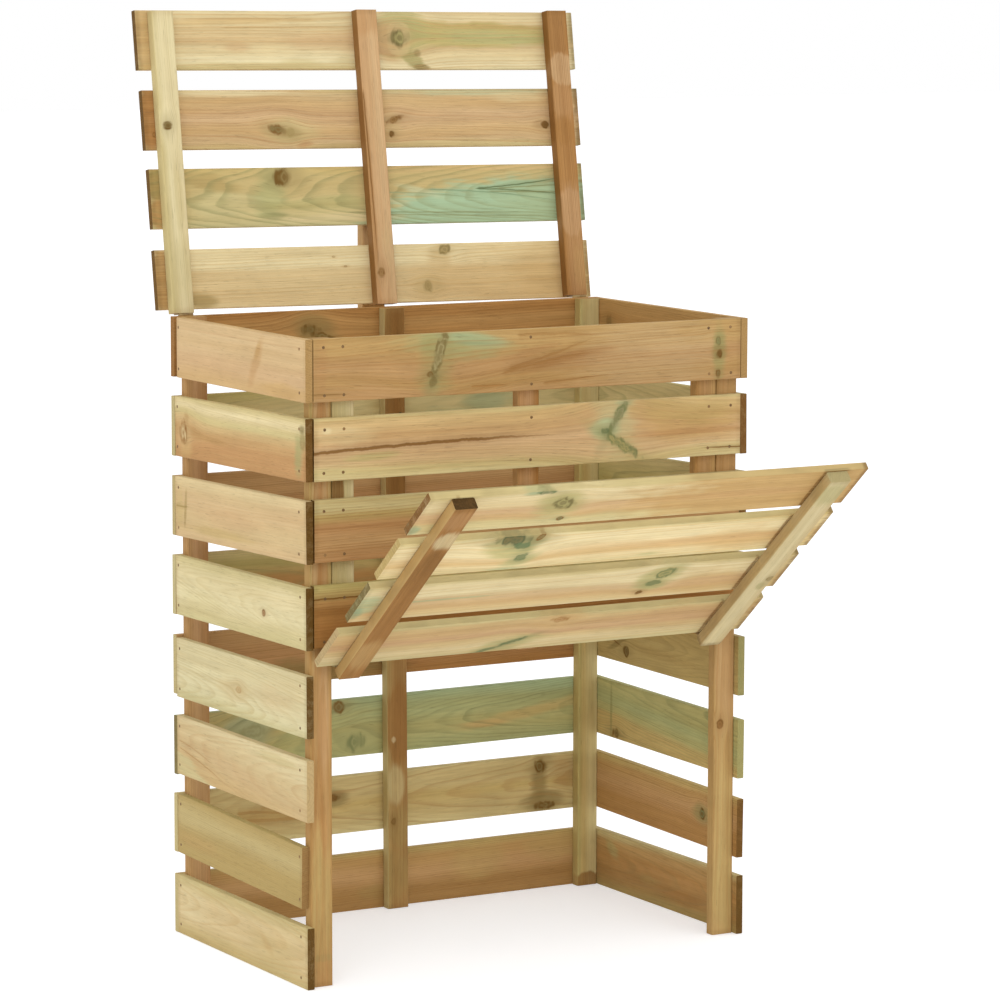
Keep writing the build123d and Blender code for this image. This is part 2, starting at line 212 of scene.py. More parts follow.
x, y, z = t.split(i["P"])
axis = t.vmath("ADD", i["Pith"], t.vmath("SCALE", i["Lean"], scale=x))
rel = t.vmath("MULTIPLY", t.vmath("SUBTRACT", i["P"], axis), (0.0, 1.0, 1.0))
radius = t.vmath("LENGTH", rel)
w1 = t.math("SUBTRACT", t.noise(at((2.4, 13.0, 13.0)), 1.0, 1.0), 0.5)
w2 = t.math("SUBTRACT", t.noise(at((10.0, 55.0, 55.0)), 1.0, 1.0), 0.5)
bendy = t.math("MULTIPLY", t.math("ADD", t.math("MULTIPLY", w1, 2.4), t.math("MULTIPLY", w2, 0.55)), t.math("MULTIPLY", i["Ring"], i["Wave"]))
phase = t.math("DIVIDE", t.math("ADD", radius, bendy), i["Ring"])
uneven = t.noise(t.join(t.math("MULTIPLY", phase, 0.41), i["Seed"], 0.0), 1.0, 0.0)
phase = t.math("ADD", phase, t.math("MULTIPLY", uneven, 1.6))
part = t.math("FRACT", phase)
ring_id = t.math("ADD", t.math("FLOOR", phase), t.math("MULTIPLY", i["Seed"], 13.7))
wn = t.node("ShaderNodeTexWhiteNoise", noise_dimensions="1D")
t.put(wn.inputs["W"], ring_id)
pick = wn.outputs["Value"]
rise = t.math("POWER", t.smooth(part, 0.15, 0.86), 1.8)
fall = t.smooth(part, 0.88, 1.0, 1.0, 0.0)
late = t.math("MULTIPLY", t.math("MULTIPLY", rise, fall), t.math("ADD", 0.28, t.math("MULTIPLY", t.math("POWER", pick, 1.6), 0.72)))
f1 = t.math("SUBTRACT", t.noise(at((26.0, 1100.0, 1100.0)), 1.0, 1.0, 0.6), 0.5)
f2 = t.math("SUBTRACT", t.noise(at((7.0, 300.0, 300.0)), 1.0, 2.0, 0.6), 0.5)
f3 = t.math("SUBTRACT", t.noise(at((3.0, 75.0, 75.0)), 1.0, 1.0, 0.5), 0.5)
streak = t.math("ADD", t.math("ADD", t.math("MULTIPLY", f1, 0.35), t.math("MULTIPLY", f2, 0.75)), t.math("MULTIPLY", f3, 0.65))
mott = t.math("SUBTRACT", t.noise(at((16.0, 34.0, 34.0)), 1.0, 3.0, 0.6), 0.5)
fleck = t.smooth(t.noise(at((52.0, 900.0, 900.0)), 1.0, 0.0), 0.70, 0.80)
col = t.mix(t.math("MULTIPLY", late, i["Lines"]), i["Color"], i["Line"])
gain = t.math("ADD", 1.0, t.math("ADD", t.math("MULTIPLY", streak, i["Streak"]), t.math("MULTIPLY", mott, i["Mottle"])))
gain = t.math("SUBTRACT", gain, t.math("MULTIPLY", fleck, 0.16))
warm = t.join(gain, t.math("MULTIPLY", gain, t.math("ADD", 1.0, t.math("MULTIPLY", f3, t.math("MULTIPLY", i["Streak"], 0.25)))),
              t.math("MULTIPLY", gain, t.math("ADD", 1.0, t.math("MULTIPLY", f3, t.math("MULTIPLY", i["Streak"], 0.6)))))
t.put(o["Color"], t.vmath("MULTIPLY", col, warm))
height = t.math("ADD", t.math("MULTIPLY", late, 0.55), t.math("ADD", t.math("MULTIPLY", f1, 0.8), t.math("MULTIPLY", f2, 0.7)))
t.put(o["Height"], t.math("SUBTRACT", height, t.math("MULTIPLY", fleck, 0.5)))
t.put(o["Late"], late)

# a knot: ragged ringed core, broken bark line, tinted wood feathering out along the grain
KNOT, t, i, o = new_group("knot",
                          [("P", "v"), ("Color", "c"), ("Height", "f"), ("Core", "c"), ("Rim", "c"), ("Centre", "v"),
                           ("Size", "v"), ("Turn", "f"), ("Amount", "f"), ("Halo", "f"), ("Rag", "f"), ("Lump", "f"), ("Fine", "f")],
                          [("Color", "c"), ("Height", "f")])
d = t.vmath("MULTIPLY", t.vmath("SUBTRACT", i["P"], i["Centre"]), (1.0, 1.0, 0.0))
d = t.turn(d, t.math("MULTIPLY", i["Turn"], -1.0))
q = t.vmath("DIVIDE", d, i["Size"])
ragged = t.math("ADD", t.math("MULTIPLY", i["Lump"], 1.15), t.math("MULTIPLY", i["Fine"], 0.75))
rr = t.math("ADD", t.vmath("LENGTH", q), ragged)
turns = t.math("ADD", t.math("MULTIPLY", t.math("SINE", t.math("ADD", t.math("MULTIPLY", rr, 11.0), t.math("MULTIPLY", i["Fine"], 9.0))), 0.5), 0.5)
core = t.smooth(rr, 0.60, 1.12, 1.0, 0.0)
broken = t.smooth(t.math("ADD", i["Fine"], t.math("MULTIPLY", i["Lump"], -0.8)), -0.16, 0.12, 0.35, 1.0)
rim = t.math("MULTIPLY", t.math("MULTIPLY", t.smooth(rr, 0.45, 0.85), t.smooth(rr, 0.92, 1.45, 1.0, 0.0)), broken)
heart = t.smooth(t.math("ADD", t.vmath("LENGTH", q), t.math("MULTIPLY", i["Fine"], 0.9)), 0.10, 0.60, 0.70, 0.0)
far = t.math("ADD", t.vmath("LENGTH", t.vmath("MULTIPLY", q, (0.55, 0.9, 0.0))), t.math("MULTIPLY", i["Rag"], 1.5))
halo = t.smooth(far, 0.45, 2.3, 1.0, 0.0)
tint = t.mix(0.60, i["Color"], i["Core"])
col = t.mix(t.math("MULTIPLY", halo, i["Halo"]), i["Color"], tint)
inner = t.mix(t.math("MULTIPLY", turns, 0.38), i["Core"], i["Rim"])
inner = t.mix(heart, inner, i["Rim"])
col = t.mix(t.math("MULTIPLY", core, i["Amount"]), col, inner)
col = t.mix(t.math("MULTIPLY", rim, i["Amount"]), col, i["Rim"])
t.put(o["Color"], col)
dent = t.math("MULTIPLY", t.math("ADD", t.math("MULTIPLY", rim, 0.9), t.math("MULTIPLY", core, t.math("MULTIPLY", turns, 0.3))), i["Amount"])
t.put(o["Height"], t.math("SUBTRACT", i["Height"], dent))

# a drying crack that wanders along the grain and closes at its ends
CRACK, t, i, o = new_group("crack",
                           [("P", "v"), ("Color", "c"), ("Height", "f"), ("Tone", "c"), ("From", "v"), ("To", "v"),
                            ("Sag", "f"), ("Width", "f"), ("Amount", "f"), ("Seed", "f")],
                           [("Color", "c"), ("Height", "f")])
x, y, _ = t.split(i["P"])
ax, ay, _ = t.split(i["From"])
bx, by, _ = t.split(i["To"])
k = t.math("DIVIDE", t.math("SUBTRACT", x, ax), t.math("SUBTRACT", bx, ax))
kk = t.math("MULTIPLY", k, t.math("SUBTRACT", 1.0, k))
line = t.math("ADD", ay, t.math("MULTIPLY", t.math("SUBTRACT", by, ay), k))
line = t.math("ADD", line, t.math("MULTIPLY", t.math("MULTIPLY", kk, 4.0), i["Sag"]))
jig = t.math("SUBTRACT", t.noise(t.join(t.math("MULTIPLY", x, 42.0), i["Seed"], 0.0), 1.0, 3.0, 0.6), 0.5)
line = t.math("ADD", line, t.math("MULTIPLY", jig, t.math("MULTIPLY", i["Width"], 1.6)))
fat = t.noise(t.join(t.math("MULTIPLY", x, 30.0), t.math("ADD", i["Seed"], 9.0), 0.0), 1.0, 3.0, 0.6)
wid = t.math("MULTIPLY", i["Width"], t.math("ADD", 0.45, fat))
taper = t.math("MINIMUM", t.smooth(k, 0.0, 0.06), t.smooth(k, 0.55, 1.0, 1.0, 0.0))
dist = t.math("DIVIDE", t.math("ABSOLUTE", t.math("SUBTRACT", y, line)), t.math("MAXIMUM", t.math("MULTIPLY", wid, taper), 0.00002))
m = t.smooth(dist, 0.35, 1.0, 1.0, 0.0)
edge = t.smooth(dist, 0.8, 4.0, 1.0, 0.0)
m = t.math("MULTIPLY", t.math("MULTIPLY", m, i["Amount"]), taper)
col = t.mix(t.math("MULTIPLY", t.math("MULTIPLY", edge, taper), 0.22), i["Color"], i["Tone"])
t.put(o["Color"], t.mix(m, col, i["Tone"]))
t.put(o["Height"], t.math("SUBTRACT", i["Height"], t.math("MULTIPLY", m, 3.0)))

# sawn ends and edges of the board
ENDS, t, i, o = new_group("sawn_ends",
                          [("P", "v"), ("N", "v"), ("Color", "c"), ("Height", "f"), ("Late", "f"), ("Low", "c"), ("High", "c"),
                           ("Edge", "c"), ("EdgeAmount", "f"), ("TipLow", "f"), ("TipHigh", "f"), ("Bare", "f"), ("Half", "v"), ("Rag", "f"), ("Lump", "f"), ("Seed", "f")],
                          [("Color", "c"), ("Height", "f")])
nx, ny, nz = t.split(i["N"])
x, y, z = t.split(i["P"])
off = t.join(i["Seed"], t.math("MULTIPLY", i["Seed"], 1.3), t.math("MULTIPLY", i["Seed"], 2.9))
grit = t.noise(t.vmath("ADD", t.vmath("MULTIPLY", i["P"], (60.0, 420.0, 420.0)), off), 1.0, 2.0, 0.65)
end = t.smooth(t.math("ABSOLUTE", nx), 0.45, 0.8)
high = t.math("GREATER_THAN", x, 0.0)
side = t.mix(high, i["Low"], i["High"])
blotch = t.smooth(t.math("ADD", i["Lump"], t.math("MULTIPLY", t.math("SUBTRACT", grit, 0.5), 0.55)), -0.10, 0.20)
pale = t.mix(0.50, side, i["Color"])
sawn = t.mix(t.math("MULTIPLY", blotch, i["Bare"]), t.vmath("SCALE", side, scale=0.90), pale)
sawn = t.vmath("SCALE", sawn, scale=t.math("SUBTRACT", t.math("ADD", 0.86, t.math("MULTIPLY", grit, 0.28)), t.math("MULTIPLY", i["Late"], 0.24)))
col = t.mix(end, i["Color"], sawn)
# long edges: planed side faces take their own tone, on some battens partly painted light (pale where the side faces the
# lamp, dark where it lies in shade); a little worn and dirtied along the arris
flank = t.math("MULTIPLY", t.smooth(t.math("ABSOLUTE", ny), 0.5, 0.9), i["EdgeAmount"])
col = t.mix(flank, col, i["Edge"])
hx, hy, hz = t.split(i["Half"])
rub = t.math("ADD", i["Rag"], 0.5)
arris = t.smooth(t.math("SUBTRACT", hy, t.math("ABSOLUTE", y)), 0.0, 0.0035, 1.0, 0.0)
col = t.mix(t.math("MULTIPLY", arris, t.smooth(rub, 0.40, 0.75, 0.0, 0.34)), col, t.vmath("SCALE", col, scale=0.62))
# the faces darken towards each end into the sawn-end tone, by TipLow and TipHigh
tip = t.smooth(t.math("ADD", t.math("SUBTRACT", hx, t.math("ABSOLUTE", x)), t.math("MULTIPLY", i["Lump"], 0.005)), 0.003, 0.011, 1.0, 0.0)
tip_amount = t.math("ADD", i["TipLow"], t.math("MULTIPLY", high, t.math("SUBTRACT", i["TipHigh"], i["TipLow"])))
col = t.mix(t.math("MULTIPLY", t.math("MULTIPLY", tip, tip_amount), t.smooth(rub, 0.25, 0.6, 0.45, 1.0)), col, t.mix(0.35, t.vmath("SCALE", side, scale=0.8), col))
t.put(o["Color"], col)
saw = t.math("MULTIPLY", t.math("SUBTRACT", grit, 0.5), t.math("ADD", 0.25, t.math("MULTIPLY", end, 2.4)))
t.put(o["Height"], t.math("ADD", i["Height"], saw))

# ---------------------------------------------------------------------------
# tones of pressure-treated pine, by name
# ---------------------------------------------------------------------------
TONES = {
    "cream": (221, 206, 161),
    "straw": (212, 192, 144),
    "sand": (204, 178, 130),
    "honey": (198, 164, 106),
    "blush": (200, 167, 123),
    "rose": (192, 151, 106),
    "tan": (182, 145, 90),
    "russet": (168, 120, 65),
    "umber": (138, 97, 48),
    "olive": (180, 165, 103),
    "sage": (166, 167, 114),
    "jade": (160, 186, 149),
    "moss": (134, 132, 84),
    "bottle": (98, 112, 74),
    "walnut": (120, 82, 36),
    "bark": (106, 75, 27),
    "pitch": (58, 42, 24),
    "ash": (148, 138, 108),
}


# share of the studio light that timber sends back, next to a white card
REFLECT = 0.96


def tone(name):
    """A tone, or two mixed evenly with a slash between them."""
    parts = [linear(TONES[p]) for p in name.split("/")]
    return tuple(sum(p[k] for p in parts) / len(parts) * REFLECT for k in range(3)) + (1.0,)


def board_frame(obj):
    """Length, width and thickness axes of a board from its faces, with its middle and half sizes."""
    groups = []
    for p in obj.data.polygons:
        n = p.normal
        for g in groups:
            if abs(g[0].dot(n)) > 0.999:
                g[1] += p.area
                break
        else:
            groups.append([n.copy(), p.area])
    groups.sort(key=lambda g: -g[1])
    thick = groups[0][0]
    wide = next(g[0] for g in groups[1:] if abs(g[0].dot(thick)) < 0.05)
    wide = (wide - thick * wide.dot(thick)).normalized()
    long = wide.cross(thick)

    def positive(v):
        k = max(range(3), key=lambda j: abs(v[j]))
        return v if v[k] > 0 else -v

    long, wide = positive(long), positive(wide)
    rows = Matrix((long, wide, long.cross(wide)))
    co = [rows @ v.co for v in obj.data.vertices]
    lo = [min(c[k] for c in co) for k in range(3)]
    hi = [max(c[k] for c in co) for k in range(3)]
    mid = Vector([(a + b) / 2 for a, b in zip(lo, hi)])
    half = Vector([(b - a) / 2 for a, b in zip(lo, hi)])
    return rows, mid, half


MM = 0.001


def pine_material(name, obj, spec):
    rows, mid, half = board_frame(obj)
    mat = bpy.data.materials.new("pine_" + name)
    mat.use_nodes = True
    t = Tree(mat.node_tree)
    t.tree.nodes.clear()
    seed = spec["seed"]
    tex = t.node("ShaderNodeTexCoord")
    mp = t.node("ShaderNodeMapping", vector_type="POINT")
    t.put(mp.inputs["Vector"], tex.outputs["Object"])
    mp.inputs["Rotation"].default_value = rows.to_euler("XYZ")
    mp.inputs["Location"].default_value = -mid
    here = mp.outputs[0]
    mn = t.node("ShaderNodeMapping", vector_type="POINT")
    t.put(mn.inputs["Vector"], tex.outputs["Normal"])
    mn.inputs["Rotation"].default_value = rows.to_euler("XYZ")
    facing = mn.outputs[0]

    # grain parted by the knots
    flow = here
    for k in spec.get("knots", []):
        l, w, rl, rw = k[:4]
        push = k[7] if len(k) > 7 else 0.75
        if push:
            flow = t.use(FLOW, P=flow, Centre=(l * MM, w * MM, 0.0),
                         Reach=(max(rl, rw) * 3.4 * MM, max(rl, rw) * 2.1 * MM, 1.0), Push=push)["P"]

    # colour bands across the board
    fac = t.use(WANDER, P=flow, Seed=seed, Half=half[1], Amount=spec.get("wander", 0.16), Slope=spec.get("slope", 0.0))["Fac"]
    ramp = t.node("ShaderNodeValToRGB")
    ramp.color_ramp.interpolation = "EASE"
    bands = spec["bands"]
    if isinstance(bands, str):
        bands = [(0.0, bands), (1.0, bands)]
    els = ramp.color_ramp.elements
    els[0].position, els[0].color = bands[0][0], tone(bands[0][1])
    els[1].position, els[1].color = bands[-1][0], tone(bands[-1][1])
    for pos, nm in bands[1:-1]:
        els.new(pos).color = tone(nm)
    t.put(ramp.inputs[0], fac)
    col = ramp.outputs[0]

    ragged = t.use(RAGGED, P=flow, Seed=seed)
    rags = (ragged["Rag"], t.math("MULTIPLY", ragged["Rag"], -1.0))
    for n, s in enumerate(spec.get("stains", [])):
        l, w, sl, sw, nm, amount = s[:6]
        turn = s[6] if len(s) > 6 else 0.0
        soft = s[7] if len(s) > 7 else 0.45
        col = t.use(STAIN_AND_SHADE, P=flow, Color=col, Tone=tone(nm), Centre=(l * MM, w * MM, 0.0), Size=(sl * MM, sw * MM, 1.0),
                    Turn=radians(turn), Soft=soft, Amount=amount, Rag=rags[n % 2])["Color"]

    # contact marks: painted shade, dark lines beside battens and posts on the inner face
    shade_marks = spec.get("contact", [])
    if shade_marks:
        side = t.smooth(t.math("MULTIPLY", t.split(here)[2], -1.0), 0.001, 0.003)
    for n, s in enumerate(shade_marks):
        l, w, sl, sw, nm, amount, soft = s
        col = t.use(STAIN_AND_SHADE, P=here, Color=col, Tone=tone(nm), Centre=(l * MM, w * MM, 0.0), Size=(sl * MM, sw * MM, 1.0),
                    Turn=0.0, Soft=soft, Amount=t.math("MULTIPLY", side, amount), Rag=rags[n % 2])["Color"]

    ring, pw, pt, lw, lt = spec.get("grain", (3.2, -140, 60, 0.02, 0.0))
    g = t.use(PINE, P=flow, Color=col, Line=tone(spec.get("line", "tan")), Lines=spec.get("lines", 0.5), Ring=ring * MM,
              Pith=(0.0, pw * MM, pt * MM), Lean=(0.0, lw, lt), Wave=spec.get("wave", 1.0),
              Streak=spec.get("streak", 0.30) * 1.3, Mottle=spec.get("mottle", 0.16) * 1.3, Seed=seed)
    col, height, late = g["Color"], g["Height"], g["Late"]

    for n, k in enumerate(spec.get("knots", [])):
        l, w, rl, rw, core, rim, amount = k[:7]
        turn = k[8] if len(k) > 8 else 0.0
        halo = k[9] if len(k) > 9 else 0.5
        r = t.use(KNOT, P=here, Color=col, Height=height, Core=tone(core), Rim=tone(rim), Centre=(l * MM, w * MM, 0.0),
                  Size=(rl * MM, rw * MM, 1.0), Turn=radians(turn), Amount=amount, Halo=halo,
                  Rag=ragged["Rag"], Lump=ragged["Lump"], Fine=ragged["Fine"])
        col, height = r["Color"], r["Height"]

    for n, c in enumerate(spec.get("cracks", [])):
        l0, w0, l1, w1, sag, width, nm, amount = c
        r = t.use(CRACK, P=here, Color=col, Height=height, Tone=tone(nm), From=(l0 * MM, w0 * MM, 0.0), To=(l1 * MM, w1 * MM, 0.0),
                  Sag=sag * MM, Width=width * MM, Amount=amount, Seed=seed + 3.3 * n)
        col, height = r["Color"], r["Height"]

    low, high = spec.get("ends", ("walnut", "walnut"))
    edge, edge_amount = spec.get("edge", ("tan", 0.35))
    tip_low, tip_high = spec.get("tips", (0.3, 0.3))
    r = t.use(ENDS, P=here, N=facing, Color=col, Height=height, Late=late, Low=tone(low), High=tone(high), Edge=tone(edge),
              EdgeAmount=edge_amount, TipLow=tip_low, TipHigh=tip_high, Bare=spec.get("bare", 0.22), Half=tuple(half), Rag=ragged["Rag"], Lump=ragged["Lump"], Seed=seed)
    col, height = r["Color"], r["Height"]

    gain = spec.get("gain", 1.0)
    if gain != 1.0:
        col = t.vmath("SCALE", col, scale=gain)

    bsdf = t.node("ShaderNodeBsdfPrincipled")
    t.put(bsdf.inputs["Base Color"], col)
    t.put(bsdf.inputs["Roughness"], t.smooth(height, -1.5, 1.2, 0.86, 0.62))
    bsdf.inputs["Specular IOR Level"].default_value = 0.13
    bump = t.node("ShaderNodeBump")
    bump.inputs["Strength"].default_value = 0.55
    bump.inputs["Distance"].default_value = 0.0005
    t.put(bump.inputs["Height"], height)
    t.put(bsdf.inputs["Normal"], bump.outputs[0])
    out = t.node("ShaderNodeOutputMaterial")
    t.put(out.inputs["Surface"], bsdf.outputs[0])
    return mat


# ---------------------------------------------------------------------------
# the boards, one by one.  Lengths in millimetres from the board's middle.
#   bands   tone across the width, from the low edge to the high edge
#   stains  (along, across, half length, half width, tone, amount, turn, softness)
#   contact (along, across, half length, half width, tone, amount, softness), painted shade beside
#           a batten or post, on the inner face only
#   knots   (along, across, half length, half width, core, rim, amount, push, turn, halo)
#   cracks  (along, across, to along, to across, sag, width, tone, amount)
#   ends    sawn-end tone at the low and the high end; tips, how far that tone has
#           spread on to the faces; bare, how much of the end is left pale
#   grain   (ring width, pith across, pith depth, lean across, lean depth)
# ---------------------------------------------------------------------------
STRAIGHT = (4.8, -170, 45, 0.015, 0.0)
STRAIGHT_UP = (6.2, 165, -40, -0.02, 0.0)

